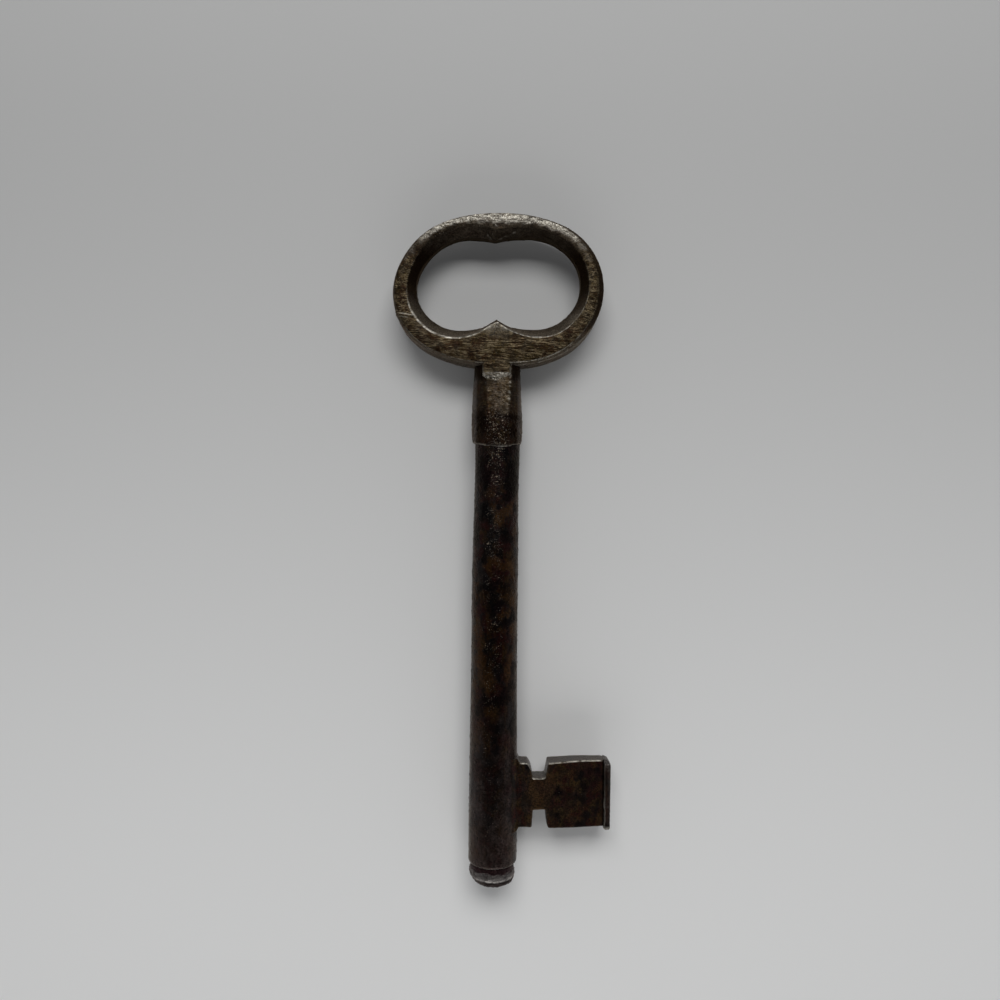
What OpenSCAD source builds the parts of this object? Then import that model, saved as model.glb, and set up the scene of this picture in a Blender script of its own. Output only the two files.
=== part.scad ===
// Old forged iron door key, lying flat.
// The shank runs along Y with the ring at +Y and the rounded tip at -Y.
// The bit stands out to +X and the key's thickness is along Z.
// The origin is on the shank's axis, at the lower end of its full-diameter cylinder.

/* [Bow] */
// Width of the ring across the key
bow_w = 46.2; // [40:0.1:56]
// Height of the ring along the key
bow_h = 33.9; // [28:0.1:41]
// Thickness of the ring
bow_t = 7.4; // [5:0.1:9]
// Width of the bar at each side of the hole
side_bar_w = 5.35; // [4:0.05:7]
// Width of the bar above the hole
top_bar_w = 5.7; // [4.5:0.05:7.5]
// Width of the bar below the hole, beside the cusp
low_bar_w = 8.7; // [6:0.05:10]
// Width of the bevel round the outside of the ring
outer_bevel_w = 1.1; // [0.4:0.05:1.6]
// Depth of the bevel round the outside of the ring
outer_bevel_h = 1.8; // [0.6:0.05:2.4]
// Width of the bevel round the hole
inner_bevel_w = 1.9; // [0.6:0.05:2.2]
// Height of the plain band left in the middle of the hole's wall
hole_band_h = 1.8; // [0.8:0.05:3]
// How much smaller the ring's side radius is than half its height
bow_side_inset = 1.15; // [0.5:0.05:2]
// Height of the hole's side arcs above the middle of the ring
hole_rise = 0.3; // [0:0.05:1]
// How much smaller the hole's side radius is than its depth below the side arcs
hole_side_inset = 0.15; // [0.1:0.05:1]
// How far past a quarter circle the upper lobes lie from the hole's sides
top_lobe_in = 1.0; // [0.5:0.05:2]
// How far past a quarter circle the lower lobes lie from the hole's sides
low_lobe_in = 1.35; // [0.8:0.05:2]
// Width of the nib on the upper bar
nib_w = 4.2; // [2:0.1:5]
// Height of the nib on the upper bar
nib_h = 0.8; // [0.4:0.1:1.5]
// Thickness of the nib
nib_t = 4.0; // [2:0.1:5]

/* [Tab and tang] */
// Width of the tab over the front of the neck
tab_w = 6.3; // [4:0.1:7]
// Length of the tab below the ring
tab_l = 3.1; // [1.5:0.1:5]
// Height of the tab's under side above the key's middle
tab_seat = 3.25; // [3:0.05:3.4]
// How far the tab's lower end stands proud of the ring's front face
tab_proud = 0.85; // [0.3:0.05:1.2]
// Diameter of the tang
tang_d = 4.6; // [3:0.1:5]
// Depth of the tang inside the shank
tang_in = 10; // [5:0.5:18]

/* [Neck] */
// Length of the neck
neck_l = 16.4; // [12:0.1:24]
// How far the neck stands out from the shank at the collar, on each side
collar_step = 0.4; // [0.2:0.05:1]
// How much the neck swells above the collar, on each side
neck_swell = 0.15; // [0:0.05:0.6]
// Height of the neck's widest place above the collar
neck_wide_at = 5.2; // [3:0.1:8]
// How much narrower the neck is under the ring than at its widest, on each side
neck_narrowing = 0.35; // [0:0.05:1]
// How much thicker than the ring the neck's upper end is
neck_top_extra = 1.3; // [0.8:0.1:3]
// Width of the neck's flat front and back facets
facet_w = 5.6; // [4.5:0.1:6.4]
// Width of the small bevel round the neck's lower end
collar_bevel = 0.3; // [0.1:0.05:0.6]

/* [Shank] */
// Diameter of the shank at the bit
shank_d = 10.4; // [8.6:0.1:12.6]
// How much thinner the shank is at the collar, in diameter
shank_taper = 0.7; // [0:0.1:1.2]
// Length of the shank from its full-diameter end to the collar
shank_l = 88; // [60:0.5:120]
// Bevel on the shank's lower end
shank_bevel = 0.6; // [0.2:0.1:1]

/* [Bit] */
// How far the bit reaches out from the shank, with its rib
bit_reach = 19.6; // [14:0.1:26]
// Height of the bit's lower edge above the full-diameter end of the shank
bit_low = 7.2; // [6.5:0.1:12]
// Length of the bit along the shank, at the shank
bit_l_root = 13.3; // [11:0.1:18]
// How much longer the bit is at its outer edge
bit_l_flare = 0.8; // [0:0.1:1.5]
// Thickness of the bit at the shank
bit_t_root = 5.4; // [4:0.1:6]
// Thickness of the bit at the rib
bit_t_edge = 3.7; // [3:0.1:4.4]
// Distance of the tongue's inner end from the shank's axis
tongue_in = 1.8; // [1:0.1:2.4]

/* [Notches] */
// Width of the root block between the shank and the lower notch
low_notch_at = 3.2; // [2:0.1:5]
// Width of the lower notch
low_notch_w = 2.8; // [1.5:0.1:4]
// Depth of the lower notch
low_notch_h = 3.9; // [2:0.1:5]
// Width of the root block between the shank and the upper notch's mouth
top_notch_at = 2.4; // [1.5:0.1:4]
// Width of the upper notch at its mouth
top_notch_mouth = 4.4; // [2.5:0.1:6]
// Width of the upper notch at its floor
top_notch_floor = 2.4; // [1.5:0.1:4]
// How far the floor's near corner lies outside the mouth's near corner
top_notch_lean = 1.6; // [0:0.1:2]
// Depth of the upper notch
top_notch_h = 3.2; // [2:0.1:4]

/* [Rib] */
// Width of the rib
rib_w = 1.5; // [1:0.1:2.5]
// Thickness of the rib
rib_t = 4.9; // [4.6:0.1:6]
// Depth of the groove that holds the bit's outer edge
rib_groove = 0.6; // [0.3:0.05:0.9]
// Length of the lump below the bit
rib_lump = 0.35; // [0:0.05:1]
// Radius of the rib's upper outer corner
rib_corner_r = 1.2; // [0.3:0.1:1.4]

/* [Tip] */
// Overall length of the tip below the shank's lower end
tip_l = 4.5; // [3.5:0.1:7]
// How far the nose ring lies inside the shank's surface
ring_step = 0.45; // [0.2:0.05:1]
// Width of the groove between the shank and the nose ring
groove_w = 1.4; // [0.8:0.1:2]
// Depth of the groove below the shank's surface
groove_depth = 0.8; // [0.5:0.05:1.4]
// Radius of the rounded end
nose_r = 1.8; // [0.8:0.1:2]
// Diameter of the spigot inside the shank
spigot_d = 5; // [3:0.1:6]
// Length of the spigot
spigot_l = 5.2; // [3:0.1:5.4]

/* [Fits] */
// Clearance round the tang and the spigot
bore_clear = 0.05; // [0.03:0.01:0.1]
// Clearance round the tab, the tongue and the rib's groove
seat_clear = 0.05; // [0.03:0.01:0.1]

/* [Hidden] */
$fn = 96;
worn_iron = [0.36, 0.31, 0.24];
dark_iron = [0.20, 0.17, 0.15];
brown_iron = [0.24, 0.17, 0.13];
pale_iron = [0.42, 0.39, 0.37];
// How far a cutting shape runs past what it cuts
past = 1;
// Angle by which each half of the hole runs on past the cusp and under the upper bar
lap_angle = 8;
// Largest angle between neighbouring points of the ring's outlines
arc_step = 5;
// Thickness of the thin slices that the ring and the neck are drawn between
slice = 0.01;
// Depth of a bore beyond the end of what it holds
bore_end = 0.3;

shank_r = shank_d / 2;
shank_top_r = (shank_d - shank_taper) / 2;
neck_top = shank_l + neck_l;
bow_y = neck_top + bow_h / 2;

// The ring's outline: two side arcs and two long arcs that touch them
bow_side_r = bow_h / 2 - bow_side_inset;
bow_side_x = bow_w / 2 - bow_side_r;
bow_long_r = (bow_side_x ^ 2 + (bow_h / 2) ^ 2 - bow_side_r ^ 2) / (2 * bow_side_inset);
bow_long_y = bow_long_r - bow_h / 2;
bow_touch = atan2(bow_long_y, bow_side_x);

// The hole's outline, measured from the middle of the ring
hole_x = bow_w / 2 - side_bar_w;
hole_top = bow_h / 2 - top_bar_w;
hole_low = -bow_h / 2 + low_bar_w;
hole_side_r = hole_rise - hole_low - hole_side_inset;
hole_side_x = hole_x - hole_side_r;
top_reach = hole_top - hole_rise;
low_reach = hole_rise - hole_low;
top_lobe_x = hole_x - top_reach - top_lobe_in;
low_lobe_x = hole_x - low_reach - low_lobe_in;
top_lobe_r = ((hole_side_x - top_lobe_x) ^ 2 + top_reach ^ 2 - hole_side_r ^ 2) / (2 * (top_reach - hole_side_r));
low_lobe_r = ((hole_side_x - low_lobe_x) ^ 2 + low_reach ^ 2 - hole_side_r ^ 2) / (2 * hole_side_inset);
top_lobe_y = hole_top - top_lobe_r;
low_lobe_y = hole_low + low_lobe_r;
top_touch = atan2(hole_rise - top_lobe_y, hole_side_x - top_lobe_x);
low_touch = atan2(hole_rise - low_lobe_y, hole_side_x - low_lobe_x);
cusp_y = low_lobe_y - sqrt(low_lobe_r ^ 2 - low_lobe_x ^ 2);
cusp_angle = atan2(cusp_y - low_lobe_y, -low_lobe_x);
bevel_slope = inner_bevel_w / ((bow_t - hole_band_h) / 2);

// Neck widths, from the collar upwards
neck_w_low = 2 * (shank_top_r + collar_step);
neck_w_wide = neck_w_low + 2 * neck_swell;
neck_w_top = neck_w_wide - 2 * neck_narrowing;
neck_t_top = bow_t + neck_top_extra;

// Bit sizes, measured from the shank's axis
bit_edge_x = shank_r + bit_reach;
rib_x = bit_edge_x - rib_w;
bit_top = bit_low + bit_l_root;
bit_top_edge = bit_top + bit_l_flare;

// Turns a shape drawn with its height along Z so that its height is along +Y
module along_key() {
    rotate([-90, 0, 0])
        children();
}

// Extrudes a side view, drawn as [y, z], to a width along X
module side_view(width) {
    rotate([90, 0, 90])
        linear_extrude(width, center = true)
            children();
}

module both_sides() {
    children();
    mirror([1, 0, 0])
        children();
}

// Points along an arc, from one angle up to, but not with, another
function arc_points(centre, radius, from, to) =
    let (steps = ceil(abs(to - from) / arc_step))
    [for (i = [0 : steps - 1])
        let (angle = from + (to - from) * i / steps)
        centre + radius * [cos(angle), sin(angle)]];

// Right half of the ring's outline, from the bottom to the top, moved outwards by a distance
function ring_half(grow) = concat(
    arc_points([0, bow_long_y], bow_long_r + grow, -90, -bow_touch),
    arc_points([bow_side_x, 0], bow_side_r + grow, -bow_touch, bow_touch),
    arc_points([0, -bow_long_y], bow_long_r + grow, bow_touch, 90),
    [[0, bow_h / 2 + grow]]
);

// Right half of the hole's outline, from past the cusp to past the middle of the upper lobe
function hole_half(grow) = concat(
    arc_points([low_lobe_x, low_lobe_y], low_lobe_r + grow, cusp_angle - lap_angle, low_touch),
    arc_points([hole_side_x, hole_rise], hole_side_r + grow, low_touch, top_touch),
    arc_points([top_lobe_x, top_lobe_y], top_lobe_r + grow, top_touch, 90 + lap_angle),
    [[-low_lobe_x / 4, hole_rise]]
);

// Section of the hole out to a radius, wider towards both faces of the ring
module hole_section(radius) {
    band = hole_band_h / 2;
    reach = bow_t / 2 + past;
    flare = bevel_slope * (reach - band);
    polygon([
        [0, -reach],
        [radius + flare, -reach],
        [radius, -band],
        [radius, band],
        [radius + flare, reach],
        [0, reach]
    ]);
}

module ring_prism(height, grow) {
    linear_extrude(height, center = true)
        both_sides()
            polygon(ring_half(grow));
}

module ring_plate() {
    hull() {
        ring_prism(bow_t, -outer_bevel_w);
        ring_prism(bow_t - 2 * outer_bevel_h, 0);
    }
}

// Opens one half of the hole out towards the front face
module hole_flare() {
    reach = bow_t / 2 + past;
    hull() {
        linear_extrude(slice)
            polygon(hole_half(-bevel_slope * hole_band_h / 2));
        translate([0, 0, reach])
            linear_extrude(slice)
                polygon(hole_half(bevel_slope * (reach - hole_band_h / 2)));
    }
}

module hole() {
    both_sides() {
        linear_extrude(bow_t + 2 * past, center = true)
            polygon(hole_half(0));
        hole_flare();
        mirror([0, 0, 1])
            hole_flare();
    }
    side_view(2 * top_lobe_x)
        hole_section(hole_top);
}

module nib() {
    linear_extrude(nib_t, center = true)
        polygon([
            [-nib_w / 2, hole_top],
            [0, hole_top - nib_h],
            [nib_w / 2, hole_top],
            [nib_w / 2, hole_top + inner_bevel_w],
            [-nib_w / 2, hole_top + inner_bevel_w]
        ]);
}

// The tab starts inside the lower bar and slopes forward to its lower end
module tab() {
    rise_from = neck_top + outer_bevel_w;
    side_view(tab_w)
        polygon([
            [neck_top - tab_l, tab_seat],
            [rise_from, tab_seat],
            [rise_from, bow_t / 2],
            [neck_top - tab_l, bow_t / 2 + tab_proud]
        ]);
}

// Square seat under the ring, as wide as the neck's upper end
module bow_seat() {
    translate([-neck_w_top / 2, neck_top, -bow_t / 2])
        cube([neck_w_top, low_bar_w / 2, bow_t]);
}

module tang() {
    translate([0, shank_l - tang_in, 0])
        along_key()
            cylinder(h = neck_l + tang_in + past, d = tang_d);
}

module bow() {
    color(worn_iron) {
        translate([0, bow_y, 0]) {
            difference() {
                ring_plate();
                hole();
            }
            nib();
        }
        bow_seat();
        tab();
        tang();
    }
}

// Thin eight-sided slice across the neck, at a height along the key
module neck_slice(y, width, thickness) {
    corner_x = width / 2;
    corner_z = thickness / 2;
    cut = (width - facet_w) / 2;
    translate([0, y, 0])
        along_key()
            linear_extrude(slice)
                polygon([
                    [corner_x, corner_z - cut],
                    [corner_x - cut, corner_z],
                    [cut - corner_x, corner_z],
                    [-corner_x, corner_z - cut],
                    [-corner_x, cut - corner_z],
                    [cut - corner_x, -corner_z],
                    [corner_x - cut, -corner_z],
                    [corner_x, cut - corner_z]
                ]);
}

module neck_body() {
    bevelled = neck_w_low - 2 * collar_bevel;
    hull() {
        neck_slice(shank_l, bevelled, bevelled);
        neck_slice(shank_l + collar_bevel, neck_w_low, neck_w_low);
        neck_slice(shank_l + neck_wide_at, neck_w_wide, neck_w_wide);
        neck_slice(neck_top - slice, neck_w_top, neck_t_top);
    }
}

module tab_recess() {
    depth_up = neck_w_wide;
    translate([-tab_w / 2 - seat_clear, neck_top - tab_l - seat_clear, tab_seat - seat_clear])
        cube([tab_w + 2 * seat_clear, tab_l + seat_clear + past, depth_up]);
}

module neck() {
    color(worn_iron)
        difference() {
            neck_body();
            tab_recess();
            translate([0, shank_l - past, 0])
                along_key()
                    cylinder(h = neck_l + 2 * past, d = tang_d + 2 * bore_clear);
        }
}

module shank_body() {
    along_key()
        rotate_extrude()
            polygon([
                [0, -shank_bevel],
                [shank_r - shank_bevel, -shank_bevel],
                [shank_r, 0],
                [shank_r, bit_low],
                [shank_top_r, shank_l],
                [0, shank_l]
            ]);
}

module mortise() {
    clear = seat_clear;
    translate([tongue_in - clear, bit_low - clear, -bit_t_root / 2 - clear])
        cube([shank_r + past, bit_l_root + 2 * clear, bit_t_root + 2 * clear]);
}

module shank() {
    tang_depth = tang_in + bore_end;
    spigot_depth = spigot_l + bore_end;
    color(dark_iron)
        difference() {
            shank_body();
            mortise();
            translate([0, shank_l - tang_depth, 0])
                along_key()
                    cylinder(h = tang_depth + past, d = tang_d + 2 * bore_clear);
            translate([0, -shank_bevel - past, 0])
                along_key()
                    cylinder(h = spigot_depth + past, d = spigot_d + 2 * bore_clear);
        }
}

// Face of the bit, with the tongue at the left and both notches cut
module bit_face() {
    edge_x = rib_x + rib_groove;
    low_x = shank_r + low_notch_at;
    top_x = shank_r + top_notch_at;
    top_floor_x = top_x + top_notch_lean;
    top_floor_y = bit_top - top_notch_h;
    polygon([
        [tongue_in, bit_low],
        [low_x, bit_low],
        [low_x, bit_low + low_notch_h],
        [low_x + low_notch_w, bit_low + low_notch_h],
        [low_x + low_notch_w, bit_low],
        [edge_x, bit_low],
        [edge_x, bit_top_edge],
        [top_x + top_notch_mouth, bit_top],
        [top_floor_x + top_notch_floor, top_floor_y],
        [top_floor_x, top_floor_y],
        [top_x, bit_top],
        [tongue_in, bit_top]
    ]);
}

// The bit seen from its end: even in the shank, then thinner out to the rib
module bit_wedge() {
    edge_x = rib_x + rib_groove;
    polygon([
        [tongue_in, -bit_t_root / 2],
        [shank_r, -bit_t_root / 2],
        [rib_x, -bit_t_edge / 2],
        [edge_x, -bit_t_edge / 2],
        [edge_x, bit_t_edge / 2],
        [rib_x, bit_t_edge / 2],
        [shank_r, bit_t_root / 2],
        [tongue_in, bit_t_root / 2]
    ]);
}

module bit() {
    color(brown_iron)
        intersection() {
            linear_extrude(bit_t_root, center = true)
                bit_face();
            translate([0, bit_low - past, 0])
                along_key()
                    linear_extrude(bit_l_root + bit_l_flare + 2 * past)
                        bit_wedge();
        }
}

// Outline of the rib seen from the front, with its rounded upper corner
module rib_face() {
    length = bit_top_edge - bit_low + rib_lump;
    corner = [rib_w - rib_corner_r, length - rib_corner_r];
    translate([rib_x, bit_low - rib_lump]) {
        square([rib_w, corner.y]);
        square([corner.x, length]);
        intersection() {
            translate(corner)
                circle(rib_corner_r);
            translate(corner)
                square(rib_corner_r);
        }
    }
}

module bit_rib() {
    color(brown_iron)
        difference() {
            linear_extrude(rib_t, center = true)
                rib_face();
            translate([rib_x - past, bit_low - seat_clear, -bit_t_edge / 2 - seat_clear])
                cube([rib_groove + past, bit_l_root + bit_l_flare + past, bit_t_edge + 2 * seat_clear]);
        }
}

module tip() {
    groove_r = shank_r - groove_depth;
    ring_r = shank_r - ring_step;
    color(pale_iron)
        translate([0, -shank_bevel, 0])
            along_key() {
                rotate_extrude() {
                    translate([0, -groove_w])
                        square([groove_r, groove_w]);
                    translate([0, nose_r - tip_l])
                        square([ring_r, tip_l - groove_w - nose_r]);
                    translate([0, -tip_l])
                        square([ring_r - nose_r, nose_r]);
                    translate([ring_r - nose_r, nose_r - tip_l])
                        intersection() {
                            circle(nose_r);
                            translate([0, -nose_r])
                                square(nose_r);
                        }
                }
                cylinder(h = spigot_l, d = spigot_d);
            }
}

bow();
neck();
shank();
bit();
bit_rib();
tip();
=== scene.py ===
import math

import bpy
import numpy as np
from mathutils import Matrix, Vector, geometry, kdtree, noise


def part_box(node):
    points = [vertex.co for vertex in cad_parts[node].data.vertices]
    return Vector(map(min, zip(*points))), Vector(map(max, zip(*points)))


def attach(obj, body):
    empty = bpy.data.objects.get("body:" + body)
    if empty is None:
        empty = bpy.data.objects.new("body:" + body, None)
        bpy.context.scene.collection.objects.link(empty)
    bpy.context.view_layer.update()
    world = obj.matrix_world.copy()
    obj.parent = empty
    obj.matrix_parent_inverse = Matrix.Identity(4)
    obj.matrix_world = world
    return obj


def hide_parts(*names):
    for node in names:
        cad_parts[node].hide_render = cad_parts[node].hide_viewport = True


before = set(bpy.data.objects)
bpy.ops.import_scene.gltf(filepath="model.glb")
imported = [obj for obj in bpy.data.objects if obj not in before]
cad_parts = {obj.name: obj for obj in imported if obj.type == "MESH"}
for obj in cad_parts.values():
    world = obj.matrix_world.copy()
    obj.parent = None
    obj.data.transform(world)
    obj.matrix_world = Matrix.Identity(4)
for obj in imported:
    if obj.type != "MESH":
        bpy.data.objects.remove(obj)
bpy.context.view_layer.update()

mm = 0.001  # shapes are worked out in millimetres and turned into metres at the end


def boxInMm(node):
    low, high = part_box(node)
    return np.array(low) / mm, np.array(high) / mm


bowLow, bowHigh = boxInMm("bow")
neckLow, neckHigh = boxInMm("neck")
shankLow, shankHigh = boxInMm("shank")
bitLow, bitHigh = boxInMm("bit")
ribLow, ribHigh = boxInMm("bit_rib")
print("frame loaded")


# Small tools for shapes

def smooth(low, high, value):
    # a soft step from 0 at low to 1 at high; it falls instead where low is the larger
    t = np.clip((value - low) / (high - low), 0, 1)
    return t * t * (3 - 2 * t)


def bump(centre, width, value):
    return np.exp(-((value - centre) / width) ** 2)


def unit(values):
    return np.clip(values, 0, 1)


def curveThrough(points, at):
    # smooth curve through given points, each a place and a value
    xs = np.array([p[0] for p in points], float)
    ys = np.array([p[1] for p in points], float)
    slopes = np.gradient(ys, xs)
    at = np.clip(at, xs[0], xs[-1])
    i = np.clip(np.searchsorted(xs, at) - 1, 0, len(xs) - 2)
    step = xs[i + 1] - xs[i]
    t = (at - xs[i]) / step
    first = ys[i] * (1 + 2 * t) * (1 - t) ** 2 + slopes[i] * step * t * (1 - t) ** 2
    second = ys[i + 1] * t * t * (3 - 2 * t) + slopes[i + 1] * step * t * t * (t - 1)
    return first + second


def byAngle(points, degreesNow):
    # like curveThrough, for a value that closes on itself after a whole turn
    before = [(angle - 360, value) for angle, value in points[:-1]]
    after = [(angle + 360, value) for angle, value in points[1:]]
    return curveThrough(before + list(points) + after, degreesNow)


def lumps(points, size, seed, octaves=1):
    # noise of about -1 to 1 whose lumps are size mm across, one number or one for each axis
    flat = np.reshape(points, (-1, 3)) / np.asarray(size, float) + 31.7 * seed
    values = [noise.fractal(Vector(p), 1.0, 2.0, octaves) for p in flat]
    return np.reshape(values, np.shape(points)[:-1])


def patches(low, high, points, size, seed, octaves=1):
    # the same noise cut into soft-edged patches, from 0 at low to 1 at high
    return smooth(low, high, lumps(points, size, seed, octaves))


def turnsOf(columns):
    return np.linspace(0, 2 * math.pi, columns, endpoint=False)


def loopOf(x, y, z):
    # points from their coordinates, each a list or one number for all of them
    return np.stack(np.broadcast_arrays(x, y, z), axis=-1)


def makeObject(name, points, faces):
    mesh = bpy.data.meshes.new(name)
    mesh.from_pydata((np.reshape(points, (-1, 3)) * mm).tolist(), [], faces)
    mesh.validate()
    mesh.shade_smooth()
    made = bpy.data.objects.new(name, mesh)
    bpy.context.scene.collection.objects.link(made)
    return made


def gridFaces(rows, columns, closed, start=0):
    # faces between rows of points that are closed loops; closed also joins the last row to the first
    faces = []
    for i in range(rows if closed else rows - 1):
        here = start + i * columns
        there = start + (i + 1) % rows * columns
        for j in range(columns):
            k = (j + 1) % columns
            faces.append([here + j, here + k, there + k, there + j])
    return faces


def cappedTube(name, rows):
    # rows run along the tube, each a closed loop of points; both ends are closed with a fan
    rows = np.array(rows)
    count, columns = rows.shape[:2]
    faces = gridFaces(count, columns, False)
    points = np.vstack([rows.reshape(-1, 3), rows[0].mean(axis=0), rows[-1].mean(axis=0)])
    first = count * columns
    last = (count - 1) * columns
    for j in range(columns):
        k = (j + 1) % columns
        faces.append([first, k, j])
        faces.append([first + 1, last + j, last + k])
    return makeObject(name, points, faces)


def readVertices(made, name):
    values = np.zeros(len(made.data.vertices) * 3)
    made.data.vertices.foreach_get(name, values)
    return values.reshape(-1, 3)


def pointsOf(made):
    return readVertices(made, "co") / mm


def pushOut(made, amounts):
    # moves each point along its normal by an amount in mm
    moved = readVertices(made, "co") + readVertices(made, "normal") * (amounts * mm)[:, None]
    made.data.vertices.foreach_set("co", moved.ravel())
    made.data.update()


def keepMasks(made, **masks):
    # stores numbers for the points, which the materials read by name; points past a list's end get 0
    count = len(made.data.vertices)
    for name, values in masks.items():
        flat = np.full(count, values) if np.isscalar(values) else np.ravel(values)
        layer = made.data.attributes.new(name, "FLOAT", "POINT")
        layer.data.foreach_set("value", np.pad(flat, (0, count - len(flat))))


def pits(places, chance, seed, count, radius, depthShare):
    # depth in mm, at each point, of round pits scattered where chance says
    rng = np.random.default_rng(seed)
    tree = kdtree.KDTree(len(places))
    for i, p in enumerate(places):
        tree.insert(Vector(p), i)
    tree.balance()
    depth = np.zeros(len(places))
    for centre in places[rng.integers(0, len(places), count)]:
        if rng.random() > chance(centre):
            continue
        reach = rng.uniform(*radius)
        deep = reach * rng.uniform(*depthShare)
        for _, i, distance in tree.find_range(Vector(centre), reach):
            depth[i] = max(depth[i], deep * (1 - (distance / reach) ** 2))
    return depth


# Materials

number = "NodeSocketFloat"
colour = "NodeSocketColor"
vector = "NodeSocketVector"


class Nodes:
    # one node tree; each method adds a node and gives its result
    def __init__(self, tree):
        self.tree = tree

    def fill(self, made, sockets):
        for socket, value in sockets.items():
            if isinstance(value, bpy.types.NodeSocket):
                self.tree.links.new(value, made.inputs[socket])
            else:
                made.inputs[socket].default_value = value
        return made.outputs

    def put(self, kind, sockets=None, **settings):
        made = self.tree.nodes.new(kind)
        for key, value in settings.items():
            setattr(made, key, value)
        return self.fill(made, sockets or {})

    def useGroup(self, group, sockets):
        return self.put("ShaderNodeGroup", sockets, node_tree=group)

    def maths(self, operation, *values):
        return self.put("ShaderNodeMath", dict(enumerate(values)), operation=operation)[0]

    def times(self, first, *others):
        for value in others:
            first = self.maths("MULTIPLY", first, value)
        return first

    def plus(self, first, second):
        return self.maths("ADD", first, second)

    def minus(self, first, second):
        return self.maths("SUBTRACT", first, second)

    def larger(self, first, second):
        return self.maths("MAXIMUM", first, second)

    def remap(self, value, low, high, first=0.0, last=1.0):
        sockets = {"Value": value, "From Min": low, "From Max": high, "To Min": first, "To Max": last}
        return self.put("ShaderNodeMapRange", sockets, interpolation_type="SMOOTHSTEP")[0]

    def mix(self, factor, first, second, mode="MIX"):
        # blends two colours
        sockets = {0: factor, 6: first, 7: second}
        return self.put("ShaderNodeMix", sockets, data_type="RGBA", blend_type=mode)[2]

    def blend(self, factor, first, second):
        # blends two numbers
        return self.put("ShaderNodeMix", {0: factor, 2: first, 3: second}, data_type="FLOAT")[0]

    def noise(self, at, scale, detail, roughness=0.55, distortion=0.0):
        return self.put("ShaderNodeTexNoise", {
            "Vector": at, "Scale": scale, "Detail": detail, "Roughness": roughness,
            "Distortion": distortion})[0]

    def mapped(self, at, scale, place=(0, 0, 0), turn=(0, 0, 0)):
        sockets = {"Vector": at, "Scale": scale, "Location": place, "Rotation": turn}
        return self.put("ShaderNodeMapping", sockets)[0]

    def moved(self, at, place):
        return self.mapped(at, (1, 1, 1), place)

    def scaled(self, at, factor):
        return self.put("ShaderNodeVectorMath", {0: at, 3: factor}, operation="SCALE")[0]

    def joined(self, x, y, z):
        return self.put("ShaderNodeCombineXYZ", {0: x, 1: y, 2: z})[0]

    def parts(self, at):
        return self.put("ShaderNodeSeparateXYZ", {0: at})

    def mask(self, name):
        return self.put("ShaderNodeAttribute", attribute_name=name)["Fac"]

    def patches(self, value, share, softness):
        # turns noise into ragged patches that cover about this share of the surface
        middle = self.minus(0.69, self.times(share, 0.38))
        return self.remap(value, self.minus(middle, softness), self.plus(middle, softness))

    def giveOut(self, **results):
        # ends a group: one output for each result
        for label in results:
            kind = colour if label == "Colour" else number
            self.tree.interface.new_socket(name=label, in_out="OUTPUT", socket_type=kind)
        ends = self.tree.nodes.new("NodeGroupOutput").inputs
        for label, result in results.items():
            self.tree.links.new(result, ends[label])
        return self.tree


def newGroup(name, **inputs):
    # starts a group; an input is given as its kind, or as the number that it starts with
    tree = bpy.data.node_groups.new(name, "ShaderNodeTree")
    for label, start in inputs.items():
        kind = start if isinstance(start, str) else number
        socket = tree.interface.new_socket(name=label, in_out="INPUT", socket_type=kind)
        if kind == number:
            socket.default_value = start
    return Nodes(tree), tree.nodes.new("NodeGroupInput").outputs


def makePatina():
    # mottled colour of old iron: brown ground with ragged patches of golden skin, red rust and black scale
    n, given = newGroup(
        "patina", Vector=vector, Ground=colour, Gold=colour, Rust=colour, Scale=colour,
        GoldShare=0.5, RustShare=0.5, ScaleShare=0.5, Size=1.0)
    at = n.scaled(given["Vector"], given["Size"])
    goldNoise = n.noise(n.mapped(at, (1, 0.9, 1), (29, 17, 3)), 0.5, 7, 0.7, 0.2)
    rustNoise = n.noise(n.mapped(at, (1, 0.8, 1), (13, 5, 7)), 0.38, 8, 0.7, 0.3)
    scaleNoise = n.noise(n.mapped(at, (1, 0.75, 1)), 0.28, 8, 0.68, 0.3)
    flecks = n.noise(n.moved(given["Vector"], (3, 41, 11)), 2.2, 3, 0.7)
    gold = n.larger(n.patches(goldNoise, given["GoldShare"], 0.07), n.remap(flecks, 0.54, 0.64, 0.0, 0.7))
    rust = n.patches(rustNoise, given["RustShare"], 0.05)
    scale = n.patches(scaleNoise, given["ScaleShare"], 0.045)
    mixed = n.mix(gold, given["Ground"], given["Gold"])
    mixed = n.mix(rust, mixed, given["Rust"])
    mixed = n.mix(n.times(scale, 0.9), mixed, given["Scale"])
    return n.giveOut(Colour=mixed, Scale=scale, Shade=n.noise(given["Vector"], 3.1, 4, 0.72))


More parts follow.
